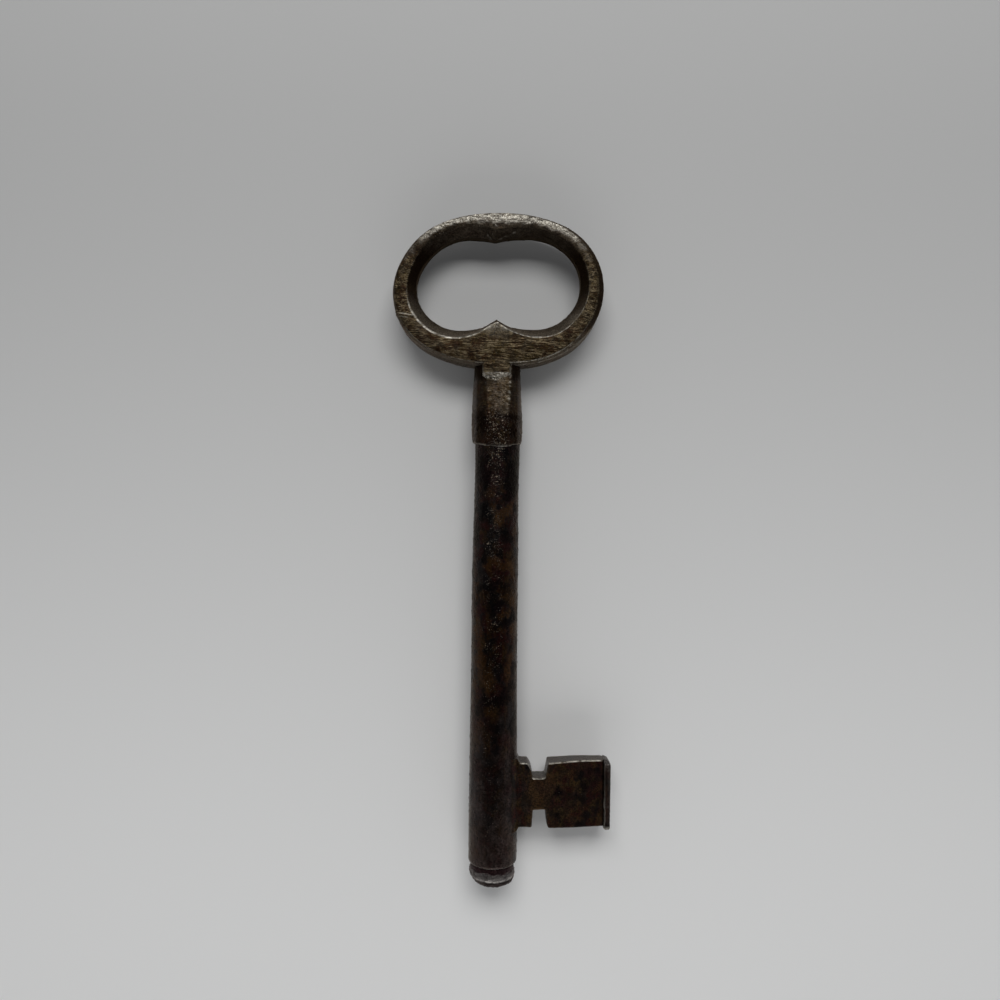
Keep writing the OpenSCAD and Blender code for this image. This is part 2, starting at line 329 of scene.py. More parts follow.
def makePitting():
    # small round pits, rough ground between them, and pale specks where a pit's rim is worn bare; where a
    # mask puts them down the shank's front they are painted glints
    n, given = newGroup("pitting", Vector=vector, Size=0.5, Share=0.5, Specks=0.5)
    at = given["Vector"]
    warp = n.noise(at, 1.7, 3)
    warped = n.put("ShaderNodeVectorMath", {0: at, 1: n.joined(warp, warp, warp)}, operation="ADD")[0]
    perMm = n.maths("DIVIDE", 1.0, given["Size"])
    cells = n.put("ShaderNodeTexVoronoi", {"Vector": warped, "Scale": perMm, "Randomness": 1.0}, feature="F1")
    chance = n.put("ShaderNodeSeparateColor", {0: cells["Color"]})[0]
    fewer = n.minus(1.0, given["Share"])
    present = n.remap(chance, fewer, n.plus(fewer, 0.05))
    pit = n.times(n.remap(cells["Distance"], 0.1, 0.44, 1.0, 0.0), present)
    height = n.minus(n.noise(at, 2.5, 3, 0.6), n.times(pit, 0.7))
    crumbs = n.noise(n.moved(at, (7, 3, 19)), 3.4, 2, 0.6)
    level = n.minus(0.74, n.times(given["Specks"], 0.3))
    strong = n.remap(n.noise(n.moved(at, (31, 9, 4)), 0.8, 3, 0.7), 0.4, 0.66, 0.12, 1.0)
    speck = n.times(n.remap(crumbs, level, n.plus(level, 0.06)), strong)
    return n.giveOut(Height=height, Pit=pit, Speck=speck)


def makeFileMarks():
    # wavy strokes left by file and hand: they run along the vector's X and follow each other along its Y
    n, given = newGroup("fileMarks", Vector=vector, Pitch=0.3, Length=2.5, Cover=0.6)
    parts = n.parts(given["Vector"])
    along = n.maths("DIVIDE", parts[0], given["Length"])
    across = n.maths("DIVIDE", parts[1], given["Pitch"])
    at = n.joined(along, across, n.times(parts[2], 0.4))
    broad = n.noise(at, 0.62, 3, 0.6)
    thin = n.noise(n.mapped(at, (1.3, 1.0, 1), (5, 9, 2)), 1.25, 2, 0.5)
    gaps = n.noise(n.mapped(given["Vector"], (0.6, 1.0, 1), (17, 2, 5)), 0.75, 4, 0.62)
    shown = n.patches(gaps, given["Cover"], 0.09)
    line = n.remap(n.maths("ABSOLUTE", n.minus(broad, 0.5)), 0.01, 0.04, 1.0, 0.0)
    dashes = n.remap(thin, 0.57, 0.65)
    bright = n.times(n.larger(n.times(line, 0.75), dashes), shown)
    return n.giveOut(Height=n.plus(broad, n.times(thin, 0.5)), Bright=bright)


def makeWear():
    # breaks a mask of edges up, so that bare metal shows in patches and not as an even line
    n, given = newGroup("edgeWear", Vector=vector, Edge=0.0, Amount=1.0)
    broken = n.remap(n.noise(given["Vector"], 0.9, 5, 0.7), 0.3, 0.6)
    fine = n.remap(n.noise(given["Vector"], 4.5, 3, 0.6), 0.25, 0.6, 0.35, 1.0)
    bare = n.times(given["Edge"], n.times(broken, fine), given["Amount"])
    return n.giveOut(Bare=n.put("ShaderNodeClamp", {0: bare})[0])


patina = makePatina()
pitting = makePitting()
fileMarks = makeFileMarks()
edgeWear = makeWear()


def rubbedStreaks(n, at):
    # ragged bright streaks with thin dark lines between them, where hands polish the iron; on the bow's upper
    # bar they also serve as a painted highlight
    streaks = n.remap(n.noise(n.mapped(at, (0.5, 1.6, 1)), 1.3, 6, 0.74), 0.4, 0.56, 0.14, 1.0)
    wander = n.minus(n.noise(n.mapped(at, (0.9, 1.1, 1), (6, 8, 2)), 1.1, 4, 0.65), 0.5)
    streaks = n.times(streaks, n.remap(n.maths("ABSOLUTE", wander), 0.0, 0.025, 0.2, 1.0))
    return n.times(streaks, n.remap(n.noise(at, 4.2, 3, 0.6), 0.36, 0.6, 0.3, 1.0))


def ironMaterial(name, look):
    # one recipe for all the iron; look holds this piece's own tones, pits, strokes and gloss
    material = bpy.data.materials.new(name)
    material.use_nodes = True
    material.node_tree.nodes.clear()
    n = Nodes(material.node_tree)
    at = n.scaled(n.put("ShaderNodeTexCoord")["Object"], 1 / mm)
    tint = {key: (*value, 1) for key, value in look.items() if isinstance(value, tuple)}
    hand, rough, polish, soot = [n.mask(key) for key in ("handled", "pitted", "polish", "sooted")]

    tone = n.useGroup(patina, {
        "Vector": at, "Size": look["patchSize"], "Ground": tint["ground"], "Gold": tint["gold"],
        "Rust": tint["rust"], "Scale": tint["scale"], "GoldShare": look["goldShare"],
        "RustShare": look["rustShare"], "ScaleShare": look["scaleShare"]})
    holes = n.useGroup(pitting, {
        "Vector": at, "Size": look["pitSize"], "Share": n.times(rough, look["pitShare"]),
        "Specks": n.times(n.mask("flecked"), look["speckShare"])})
    strokeHeight, strokeBright = look["strokes"](n, at, look)

    # colour: patches first, then what hands, soot and wear did to them, with the painted shade, highlights
    # and reflections that some masks carry
    base = tone["Colour"]
    handHere = n.times(hand, n.remap(tone["Shade"], 0.3, 0.55, 0.55, 1.0))
    covers = ((handHere, look["handTone"], "handled"), (n.mask("warmed"), 0.8, "warm"), (soot, 0.88, "soot"),
              (n.mask("paled"), 0.8, "pale"))
    for mask, share, key in covers:
        base = n.mix(n.times(mask, share), base, tint[key])
    trough = n.times(n.remap(strokeHeight, 0.6, 0.82, 1.0, 0.0), n.times(hand, look["trough"]))
    shade = n.remap(tone["Shade"], 0.32, 0.68, 1.0 - look["contrast"], 1.0 + look["contrast"])
    shade = n.times(shade, n.minus(1.0, trough))
    grey = n.put("ShaderNodeCombineColor", {0: shade, 1: shade, 2: shade})[0]
    base = n.mix(1.0, base, grey, "MULTIPLY")
    base = n.mix(n.times(holes["Pit"], 0.8), base, tint["pitColour"])
    base = n.mix(n.times(strokeBright, hand, look["glint"]), base, tint["line"])
    bare = n.useGroup(edgeWear, {"Vector": at, "Edge": n.mask("edge"), "Amount": look["edgeWear"]})["Bare"]
    bare = n.larger(bare, n.times(polish, rubbedStreaks(n, at)))
    bare = n.larger(bare, n.times(holes["Speck"], 0.85))
    base = n.mix(bare, base, n.mix(holes["Speck"], tint["bare"], tint["speck"]))

    metal = n.blend(bare, n.blend(tone["Scale"], look["metallic"], look["metallic"] * 0.35), 0.92)
    metal = n.larger(metal, n.times(soot, 0.9))
    gloss = n.remap(tone["Shade"], 0.3, 0.7, look["roughness"] + 0.1, look["roughness"] - 0.08)
    gloss = n.blend(bare, gloss, look["bareRoughness"])
    gloss = n.blend(n.larger(holes["Pit"], n.times(soot, 0.6)), gloss, 0.6)

    height = n.times(n.noise(at, 5.2, 4, 0.7), look["grainDepth"])
    height = n.plus(height, n.times(holes["Height"], n.times(n.plus(rough, 0.15), look["pitDepth"])))
    height = n.plus(height, n.times(strokeHeight, n.times(n.larger(hand, polish), look["strokeDepth"])))
    shader = n.put("ShaderNodeBsdfPrincipled", {
        "Base Color": base, "Metallic": metal, "Roughness": gloss,
        "Normal": n.put("ShaderNodeBump", {"Strength": 1.0, "Distance": mm, "Height": height})[0],
        "IOR": look["ior"], "Specular IOR Level": look["specular"], "Specular Tint": tint["specularTint"]})
    n.put("ShaderNodeOutputMaterial", {0: shader[0]})
    return material


def marksAt(n, at, look, length=1.0):
    length = look["strokeLength"] * length
    marks = n.useGroup(fileMarks, {
        "Vector": at, "Pitch": look["pitch"], "Length": length, "Cover": look["cover"]})
    return marks["Height"], marks["Bright"]


def strokesAlong(turn):
    # straight strokes, turned about Z from the X direction by an angle in degrees
    def make(n, at, look):
        return marksAt(n, n.mapped(at, (1, 1, 1), (0, 0, 0), (0, 0, -math.radians(turn))), look)
    return make


# The ring of the bow

ring = {
    "middleX": 0.15,
    "middleY": 121.1,
    "halfWidth": bowHigh[0] - 0.38,
    "halfHeight": 16.8,
    "half": -bowLow[2],  # half its thickness
    "sideRadius": 15.16,
    "lean": 1.6,  # degrees
    # how far hand work left the outline off its arcs, by angle
    "outlineTrim": (
        (-180, 0.1), (-165, 0.26), (-140, -0.1), (-110, -0.24), (-72, -0.06), (-60, 0.16), (-50, 0.18),
        (-30, -0.12), (0, -0.06), (30, 0.1), (60, 0.12), (90, -0.12), (128, 0.16), (155, -0.27), (180, 0.1)),
    "outerBevel": (
        (-180, 0.5), (-150, 0.35), (-128, 0.25), (-108, 0.28), (-90, 0.4), (-51, 0.45), (-25, 1.05),
        (0, 1.35), (40, 0.9), (90, 0.5), (135, 0.5), (180, 0.5)),
    "outerBevelDepth": 1.35,
    "crown": 0.1,
    "edgeRound": 0.26,
    "steps": 900,
}
ringHole = {
    "rise": 0.93,  # its middle above the ring's own
    "lean": 1.7,
    "sideX": 8.11,
    "sideY": 0.3,
    "sideRadius": 9.58,
    "topX": 5.93,
    "topRadius": 12.35,
    "lowX": 7.63,
    "lowRadius": 17.27,
    "trim": (
        (-180, 0.2), (-150, 0.12), (-120, -0.1), (-60, 0.12), (-20, -0.08), (25, 0.14), (55, -0.03),
        (140, -0.03), (160, -0.24), (180, 0.2)),
    "bevel": (
        (-180, 1.75), (-170, 2.05), (-160, 2.3), (-146, 2.5), (-126, 2.15), (-117, 1.75), (-104, 0.85),
        (-94, 0.62), (-84, 0.9), (-73, 1.6), (-60, 2.2), (-42, 2.45), (-19, 2.0), (0, 1.6), (20, 1.3),
        (48, 1.1), (62, 1.25), (90, 1.2), (108, 1.75), (127, 1.8), (150, 1.8), (180, 1.75)),
    "band": 0.85,  # half the height of the plain wall between its bevels
    "cuspShift": -0.55,
    "cuspRise": 0.47,  # how much higher the cusp is in the wall than on the face
    "cuspHalf": 3.0,
    "nibX": -0.75,
    "nibDrop": 0.38,
    "nibTip": 0.34,
}


def alongArcs(angles, arcs, grow):
    # distance from the middle to an outline of arcs (x, y, radius, first and last angle), moved out by grow
    ways = np.stack([np.cos(angles), np.sin(angles)])
    best = np.full(angles.shape, np.inf)
    found = np.zeros(angles.shape)
    for x, y, radius, first, last in arcs:
        along = ways[0] * x + ways[1] * y
        inside = along ** 2 - (x * x + y * y) + (radius + grow) ** 2
        distance = along + np.sqrt(np.maximum(inside, 0))
        turned = np.degrees(np.arctan2(ways[1] * distance - y, ways[0] * distance - x))
        turned = (turned - first) % 360
        over = np.where(turned > last - first, np.minimum(turned - (last - first), 360 - turned), 0)
        over = np.where(inside < 0, 999, over)
        found = np.where(over < best, distance, found)
        best = np.minimum(best, over)
    return found


def outerArcs():
    r = ring["sideRadius"]
    x = ring["halfWidth"] - r
    h = ring["halfHeight"]
    longRadius = (x * x + h * h - r * r) / (2 * (h - r))
    y = longRadius - h
    touch = math.degrees(math.atan2(y, x))
    return [
        (x, 0, r, -touch, touch),
        (0, -y, longRadius, touch, 180 - touch),
        (-x, 0, r, 180 - touch, 180 + touch),
        (0, y, longRadius, 180 + touch, 360 - touch),
    ]


def holeArcs():
    h = ringHole
    # the lobes touch the side arcs from inside, so their centres follow from the radii
    topY = h["sideY"] - math.sqrt((h["topRadius"] - h["sideRadius"]) ** 2 - (h["sideX"] - h["topX"]) ** 2)
    lowY = h["sideY"] + math.sqrt((h["lowRadius"] - h["sideRadius"]) ** 2 - (h["sideX"] - h["lowX"]) ** 2)
    topTouch = math.degrees(math.atan2(h["sideY"] - topY, h["sideX"] - h["topX"]))
    lowTouch = math.degrees(math.atan2(h["sideY"] - lowY, h["sideX"] - h["lowX"]))
    cusp = math.degrees(math.atan2(-math.sqrt(h["lowRadius"] ** 2 - h["lowX"] ** 2), -h["lowX"]))
    flat = 400
    flatTouch = math.degrees(math.asin(h["topX"] / flat))
    return [
        (h["sideX"], h["sideY"], h["sideRadius"], lowTouch, topTouch),
        (h["topX"], topY, h["topRadius"], topTouch, 90),
        (0, topY + h["topRadius"] - flat, flat, 90 - flatTouch, 90 + flatTouch),
        (-h["topX"], topY, h["topRadius"], 90, 180 - topTouch),
        (-h["sideX"], h["sideY"], h["sideRadius"], 180 - topTouch, 180 - lowTouch),
        (-h["lowX"], lowY, h["lowRadius"], 180 - lowTouch, 180 - cusp),
        (h["lowX"], lowY, h["lowRadius"], cusp, lowTouch),
    ]


def lean(flat, degrees, rise=0.0):
    turn = math.radians(degrees)
    x = flat[..., 0] * math.cos(turn) - flat[..., 1] * math.sin(turn)
    y = flat[..., 0] * math.sin(turn) + flat[..., 1] * math.cos(turn)
    return np.stack([x + ring["middleX"], y + ring["middleY"] + rise], axis=-1)


def ringEdge(angles, arcs, grow, trim):
    # one feature line of the ring as points in the plane
    radius = alongArcs(angles, arcs, grow) + byAngle(trim, np.degrees(angles))
    return np.stack([radius * np.cos(angles), radius * np.sin(angles)], axis=-1)


def shapeHole(flat, level):
    # shifts the cusp to the left and lets the nib hang from the upper edge; level is 1 at the hole's edge
    h = ringHole
    x, y = flat[..., 0], flat[..., 1]
    x = x + h["cuspShift"] * bump(0, 4.5, x) * (y < 0) * bump(-7.5, 5, y)
    rise = h["cuspRise"] * np.maximum(0, 1 - np.abs(x - h["cuspShift"]) / h["cuspHalf"])
    off = np.abs(x - h["nibX"])
    drop = h["nibDrop"] * (1 - smooth(0, 5.5, off)) + h["nibTip"] * np.maximum(0, 1 - off / 2.3) ** 1.3
    return np.stack([x, y + rise * (y < 0) * (level == 1) - drop * smooth(4, 9, y) * level], axis=-1)


def roundedSection(corners, roundings, samples, bulges):
    # closed section through corners (k, n, 3); each corner is rounded, each side has its own number of points
    # spots says where each point lies: corner i is i, the side after it runs from i + 0.2 to i + 0.8
    columns = []
    edges = []
    spots = []
    count = len(corners)
    starts, ends = [], []
    for i in range(count):
        for ways, other in ((starts, corners[i - 1]), (ends, corners[(i + 1) % count])):
            side = other - corners[i]
            long = np.linalg.norm(side, axis=-1, keepdims=True)
            ways.append(corners[i] + side / np.maximum(long, 1e-6) * np.minimum(roundings[i], long * 0.42))
    for i in range(count):
        for t in (0.0, 0.25, 0.5, 0.75, 1.0):
            columns.append(starts[i] * (1 - t) ** 2 + corners[i] * 2 * t * (1 - t) + ends[i] * t * t)
            edges.append(1 - abs(2 * t - 1) ** 1.5 * 0.9)
            spots.append(i + (t - 0.5) * 0.3)
        following = starts[(i + 1) % count]
        for step in np.linspace(0, 1, samples[i] + 2)[1:-1]:
            t = step - 0.1 * math.sin(2 * math.pi * step)  # closer together near the corners
            columns.append(ends[i] * (1 - t) + following * t + bulges[i] * 4 * t * (1 - t))
            edges.append(0.0)
            spots.append(i + 0.2 + 0.6 * t)
    return np.stack(columns, axis=1), np.array(edges), np.array(spots)


def buildRing():
    angles = np.linspace(-math.pi, math.pi, ring["steps"], endpoint=False)
    around = loopOf(np.cos(angles) * 20, np.sin(angles) * 14, 0)
    degreesNow = np.degrees(angles)
    outer, inner = outerArcs(), holeArcs()
    hole = ringHole

    def outerLine(inset):
        return lean(ringEdge(angles, outer, -inset, ring["outlineTrim"]), ring["lean"])

    def holeLine(grow, level):
        return lean(shapeHole(ringEdge(angles, inner, grow, hole["trim"]), level), hole["lean"], hole["rise"])

    lines = {}
    for side, seed in ((1, 3), (-1, 5)):
        outerWidth = byAngle(ring["outerBevel"], degreesNow) * (1 + 0.1 * lumps(around, 8.0, seed, 2))
        width = byAngle(hole["bevel"], degreesNow) * (1 + 0.06 * lumps(around, 6.0, seed + 1, 2))
        height = ring["half"] * (1 + 0.012 * lumps(around, 11.0, seed + 2, 2)) - 0.06
        shoulder = height - ring["outerBevelDepth"] * (1 + 0.12 * lumps(around, 7.0, seed + 3))
        band = hole["band"] * (1 + 0.3 * lumps(around, 7.0, seed + 4))
        levels = ((outerLine(0.0), shoulder), (outerLine(outerWidth), height),
                  (holeLine(width, 0.25), height), (holeLine(0.0, 1.0), band))
        lines[side] = [np.concatenate([line, side * level[:, None]], axis=1) for line, level in levels]

    crown = np.array([0, 0, ring["crown"]])
    none = np.zeros(3)
    r = ring["edgeRound"]
    lowerLeft = smooth(-176, -160, degreesNow) * smooth(-92, -102, degreesNow)
    lowerRight = smooth(-88, -78, degreesNow) * smooth(-35, -55, degreesNow)
    innerRound = r * (0.5 + 0.9 * lowerLeft + 0.4 * lowerRight)[:, None]
    return roundedSection(
        lines[1] + lines[-1][::-1],
        [r * 1.4, r * 0.8, innerRound, r, r, innerRound, r * 0.8, r * 1.4],
        [2, 15, 7, 3, 7, 15, 2, 7],
        [none, crown, none, none, none, -crown, none, none],
    )


tab = {
    "left": -3.28,
    "right": 3.05,
    "from": 107.6,  # hidden inside the lower bar
    "rise": 106.4,  # where its face leaves the bar's face, in an arch
    "arch": 1.1,
    "top": 3.98,
    "brow": 102.7,  # where the bright lower slope starts
    "end": 101.9,
    "tongue": 1.55,  # how much further the slope's middle runs down
    "tongueX": -0.55,
    "tongueHalf": 2.0,
    "slope": 0.5,  # how far the slope goes down to the neck
    "under": 2.4,
}


def buildTab(start):
    # short body over the neck; its lower end is a ragged slope
    f = tab
    across = np.linspace(-1, 1, 50)
    off = np.abs(across)
    middle, half = (f["right"] + f["left"]) / 2, (f["right"] - f["left"]) / 2
    rows = []
    edges = []
    for t in np.linspace(0, 1, 60):
        x = middle + half * across * (1 - 0.04 * t)
        raw = loopOf(x, 3.0, 0)
        tongue = np.maximum(0, 1 - np.abs(x - f["tongueX"]) / f["tongueHalf"])
        end = f["end"] - f["tongue"] * tongue ** 0.8 + 0.2 * lumps(raw, 0.8, 4, 2) + 0.35 * off ** 8
        y = f["from"] + (end - f["from"]) * t
        arch = f["rise"] - f["arch"] * off ** 2.5
        rise = smooth(arch, arch - 1.0, y)
        top = ring["half"] - 0.14 + (f["top"] - ring["half"] + 0.14) * rise
        brow = f["brow"] + 0.1 * lumps(raw + [0, 9, 0], 1.0, 6, 2)
        slope = unit((brow - y) / (brow - end))
        facets = 0.24 * lumps(loopOf(x, y, top), (0.5, 0.3, 0.5), 7, 3) * smooth(0, 0.3, slope)
        top = top - f["slope"] * slope ** 1.15 + facets
        top = top - 0.22 * off ** 3 - 0.5 * smooth(0.88, 1.0, off) ** 2
        rows.append(np.concatenate([loopOf(x, y, top), loopOf(x[::-1], y[::-1], f["under"])]))
        nearBrow = np.maximum(bump(0, 0.2, brow - y), 0.95 * smooth(0, 0.2, slope))
        sides = bump(0.95, 0.04, off) * smooth(104.6, 103.4, y) * 0.35
        ragged = 0.3 + 0.7 * patches(-0.25, 0.2, loopOf(x, y, top), (0.45, 0.3, 0.5), 9, 2)
        edges.append(np.concatenate([unit(np.maximum(nearBrow * ragged, sides)), np.zeros(x.shape)]))
    count, columns = len(rows), len(rows[0])
    faces = gridFaces(count, columns, False, start)
    faces.append([start + j for j in range(columns)][::-1])
    faces.append([start + (count - 1) * columns + j for j in range(columns)])
    return np.concatenate(rows), np.ravel(edges), faces


def onSpots(spots, first, last):
    return smooth(first - 0.12, first + 0.12, spots) * smooth(last + 0.12, last - 0.12, spots)


bowMarks = {
    "cutX": -0.95,  # the three-cornered cut above the nib
    "cutZ": 2.6,
    "cutLeft": 2.0,
    "cutRight": 5.2,
    "cutHalfZ": 2.0,
    "cutDepth": 0.26,
    "cuspX": -0.35,
    "cuspY": 113.8,
    "nickX": -20.0,  # the two small nicks on the lower left
    "nickY": 115.1,
    "nickFall": 0.16,
    "nickDepth": 0.14,
    "pits": {"seed": 21, "count": 1100, "radius": (0.16, 0.4), "depthShare": (0.12, 0.3)},
}


def cutAboveNib(places, spots):
    # depth share of the cut, and its worn lower edge
    m = bowMarks
    x, y, z = places.T
    offCut = x - m["cutX"]
    share = np.abs(offCut) / np.where(offCut < 0, m["cutLeft"], m["cutRight"])
    inCut = 1 - share ** 1.15 - np.abs(z - m["cutZ"]) / m["cutHalfZ"] + 0.08 * lumps(places, 0.7, 18, 2)
    above = smooth(128, 130, y) * (spots > 1.95) * (spots < 3)
    brokenUp = patches(-0.35, 0.15, places, 0.55, 24, 2)
    return unit(inCut * 3.5) * above, bump(0.0, 0.09, inCut) * above * (z < m["cutZ"]) * brokenUp


def wornRim(places, spots):
    # how much of the ring's edges is bare: most round the lower half and along the inner edge
    x, y, _ = places.T
    strength = 0.12 + 0.88 * smooth(121.5, 115.5, y)
    strength = strength + 0.4 * smooth(5, 12, x) * smooth(128, 123, y) * smooth(115, 119, y)
    strength = strength * (1 - 0.5 * smooth(12, 17, x))
    outerRim = onSpots(spots, -0.2, 1.1) + onSpots(spots, 5.9, 8.2)
    outerRim = outerRim * (0.12 + 0.55 * smooth(114.5, 110.5, y) * (0.3 + 0.7 * smooth(-2, 2, x)))
    sparkle = 0.42 + 0.58 * patches(-0.3, 0.25, places, 0.9, 28, 2)
    innerRim = (onSpots(spots, 1.6, 2.4) + onSpots(spots, 4.6, 5.4)) * sparkle
    innerRim = innerRim + 0.35 * onSpots(spots, 2.6, 4.4)
    return strength * (outerRim + innerRim)


def buildBow():
    m = bowMarks
    section, edges, spots = buildRing()
    rows, columns = section.shape[:2]
    ringPoints = section.reshape(-1, 3)
    tabPoints, tabEdges, tabFaces = buildTab(len(ringPoints))
    faces = gridFaces(rows, columns, True) + tabFaces
    made = makeObject("bowRing", np.vstack([ringPoints, tabPoints]), faces)
    places = pointsOf(made)
    x, y, z = places.T
    spots = np.concatenate([np.tile(spots, rows), np.full(len(tabPoints), 1.5)])
    isTab = np.arange(len(places)) >= len(ringPoints)
    angle = np.degrees(np.arctan2(y - ring["middleY"], x - ring["middleX"]))
    blotch = lumps(places, 2.4, 19, 3)
    onFace = smooth(3.25, 3.5, np.abs(z))

    # bare metal: worn edges, the cusp's own edge, and the polished outer half of the upper bar, whose bright
    # bare metal is also a painted highlight
    cut, cutEdge = cutAboveNib(places, spots)
    edge = np.concatenate([np.tile(edges, rows), tabEdges]) * np.where(isTab, 1, wornRim(places, spots))
    edge = edge * (1 - 0.85 * smooth(127, 129, y)) + 0.4 * cutEdge
    offCusp = x - m["cuspX"]
    nearCusp = bump(0, 3.4, offCusp) * smooth(111, 112.5, y) * (y < 120)
    cuspFace = onFace * (spots < 2) * bump(0, 2.4, np.hypot(offCusp, (y - m["cuspY"]) * 1.2))
    edge = edge + 0.8 * nearCusp * onSpots(spots, 1.8, 2.1) + 0.05 * cuspFace
    upright = smooth(10, 58, angle + 12 * blotch) * smooth(162, 122, angle + 12 * blotch)
    ragged = spots + 0.14 * blotch + 0.16 * lumps(places, (1.3, 0.6, 1.3), 27, 3)
    frontHalf = smooth(1.76, 1.36, ragged) * (spots > 0.8)
    backHalf = smooth(5.32, 5.62, spots + 0.14 * blotch) * (spots < 6.2)
    # the polish is worn bare metal and also a painted highlight where the upper bar catches the light
    polish = 0.9 * upright * (frontHalf + backHalf) + 0.4 * cuspFace

    # dark and pale parts of its bevels and faces; the dark on the upper bar's inner bevels, deep in the hole
    # and on the bevel behind the cusp is painted shade, and the pale on the lower outer bevel is partly a
    # painted reflection of the floor
    inBevel = onSpots(spots, 2.08, 4.92)
    outBevel = onSpots(spots, 0, 0.9) + onSpots(spots, 6.1, 8.2) + (spots < -0.1)
    innerFace = onSpots(spots, 1.2, 2.05) * smooth(126.5, 130.5, y)
    under = outBevel * smooth(113.5, 109.5, y)
    lower = smooth(124, 117.5, y)
    towardHole = smooth(2.15, 3.15, spots) * smooth(4.85, 3.85, spots)
    # painted shade: the upper bar's inner bevels face down into the hole and are darkened, and the lower ones
    # darken deeper in the hole
    soot = inBevel * unit(1 - 0.95 * lower + 0.6 * lower * towardHole)
    soot = soot + outBevel * smooth(112.5, 116.5, y) * 0.8 + 0.9 * cut
    lowerSides = smooth(116, 111, y) * smooth(6, 12, np.abs(x - 1))
    soot = soot + onFace * (0.45 * smooth(0.1, 0.6, blotch) * lowerSides + 0.25 * smooth(12, 18, np.abs(x)))
    # painted shade on the inner bevel behind the cusp
    soot = soot + 0.8 * nearCusp * onSpots(spots, 2.2, 4.8)
    soot = soot + innerFace * (0.6 + 0.4 * smooth(-0.3, 0.3, blotch))
    grain = lumps(places, (1.8, 1.8, 0.4), 23, 3)
    pale = inBevel * smooth(121, 114, y) * (1 - nearCusp) * (1.1 - 1.0 * towardHole + 0.25 * grain)
    pale = pale + (inBevel + innerFace) * smooth(128, 131.5, y) * (0.2 + 0.18 * grain)
    # partly a painted reflection: the lower outer bevel is paled where it would mirror the pale floor
    pale = pale + under * (0.55 + 0.3 * grain + 0.35 * lumps(places, (0.7, 0.5, 0.5), 29, 3))

    # dents, pits, and the two nicks with thin scratches beside them
    dents = 0.035 * lumps(places, 2.6, 11, 2) + 0.014 * lumps(places, 0.9, 12, 2)
    dents = dents + 0.035 * polish * lumps(places, (1.1, 0.7, 1.1), 25, 2)
    slant = y - m["nickY"] + m["nickFall"] * (x - m["nickX"])
    nick = bump(0, 0.16, slant) * smooth(-17.6, -18.2, x)
    nick = nick + 0.7 * bump(0.55, 0.12, slant) * smooth(-18.6, -19.2, x)
    holes = pits(places, lambda p: 0.35 if p[1] > 118 else 0.8, **m["pits"])
    pushOut(made, dents - holes - m["nickDepth"] * nick * (z > 0) - m["cutDepth"] * cut)
    scratch = bump(0.2, 0.1, slant) + bump(-0.45, 0.09, slant) * smooth(-18.8, -19.4, x)
    edge = edge + 0.45 * scratch * smooth(-17.6, -18.4, x) * smooth(-21.6, -20.6, x) * (z > 3)
    sunk = smooth(0.03, 0.08, holes) * (1 - under) * (y < 126)

    # a dark line across the tab, and red patches on the lower half's face
    shadowed = bump(103.35, 0.22, y + 0.15 * blotch) * smooth(1.4, -0.6, x) * (z > 3)
    redPatch = onFace * patches(0.05, 0.45, places, (4.2, 3.0, 4.2), 20, 2)
    redPatch = redPatch * smooth(121, 113, y) * smooth(3, 8, np.abs(x))
    keepMasks(
        made,
        edge=unit(edge),
        polish=np.where(isTab, 0, unit(polish)),
        handled=onFace * (1 - 0.5 * smooth(0.3, 0.7, blotch)) * (1 - 0.8 * smooth(125, 131, y)),
        sooted=np.where(isTab, 0.8 * shadowed, unit(soot + 0.75 * sunk + 0.8 * nick * (z > 3))),
        paled=np.where(isTab, 0, unit(pale)),
        warmed=unit(redPatch + 0.6 * inBevel * lower),
        flecked=np.where(isTab, 0.3, unit(under + 0.3 * upright * onFace + 0.15)),
        pitted=unit(0.35 + 0.5 * lumps(places, 7.0, 14, 2) + 0.4 * smooth(110, 106, y) + 0.5 * under),
        low=smooth(115.5, 111.5, y + 2.5 * bump(0, 3.5, x)),
    )
    return made


# The neck

neckForm = {
    "columns": 210,
    "rowStep": 0.18,
    "top": neckHigh[1] + 0.35,
    "collar": neckLow[1],
    "roundness": 12,  # how tightly the body's facets meet
    "facetLeft": 10,  # the same for the front facet's soft left edge and its crisp right one
    "facetRight": 44,
    "facetHalf": 2.85,
    "facetShift": 0.25,
    "left": ((88, 5.14), (90, 5.3), (93.2, 5.4), (96.5, 5.36), (99.8, 5.25), (103, 5.1), (105, 5.0)),
    "right": ((88, 5.3), (90, 5.46), (93.2, 5.5), (96.5, 5.36), (99.8, 5.18), (103, 5.02), (105, 4.9)),
    "front": (
        (88, 5.0), (90, 5.06), (92, 4.96), (93.5, 4.8), (95, 4.62), (96.5, 4.42), (98, 4.2), (99.8, 3.9),
        (101.2, 3.66), (103, 3.45), (105, 3.3)),
    "sag": 1.1,  # how far the collar's lower edge hangs down at the front
    "ledge": (  # the collar's lower edge: drop, inset, wear
        (0.14, 0.01, 0.0), (0.26, 0.03, 0.0), (0.36, 0.08, 0.1), (0.45, 0.15, 0.45), (0.52, 0.22, 0.55),
        (0.59, 0.3, 0.35), (0.65, 0.39, 0.0), (0.68, 0.5, 0.0), (0.66, 0.9, 0.0)),
    "pits": {"seed": 22, "count": 2600, "radius": (0.14, 0.36), "depthShare": (0.2, 0.42)},
}


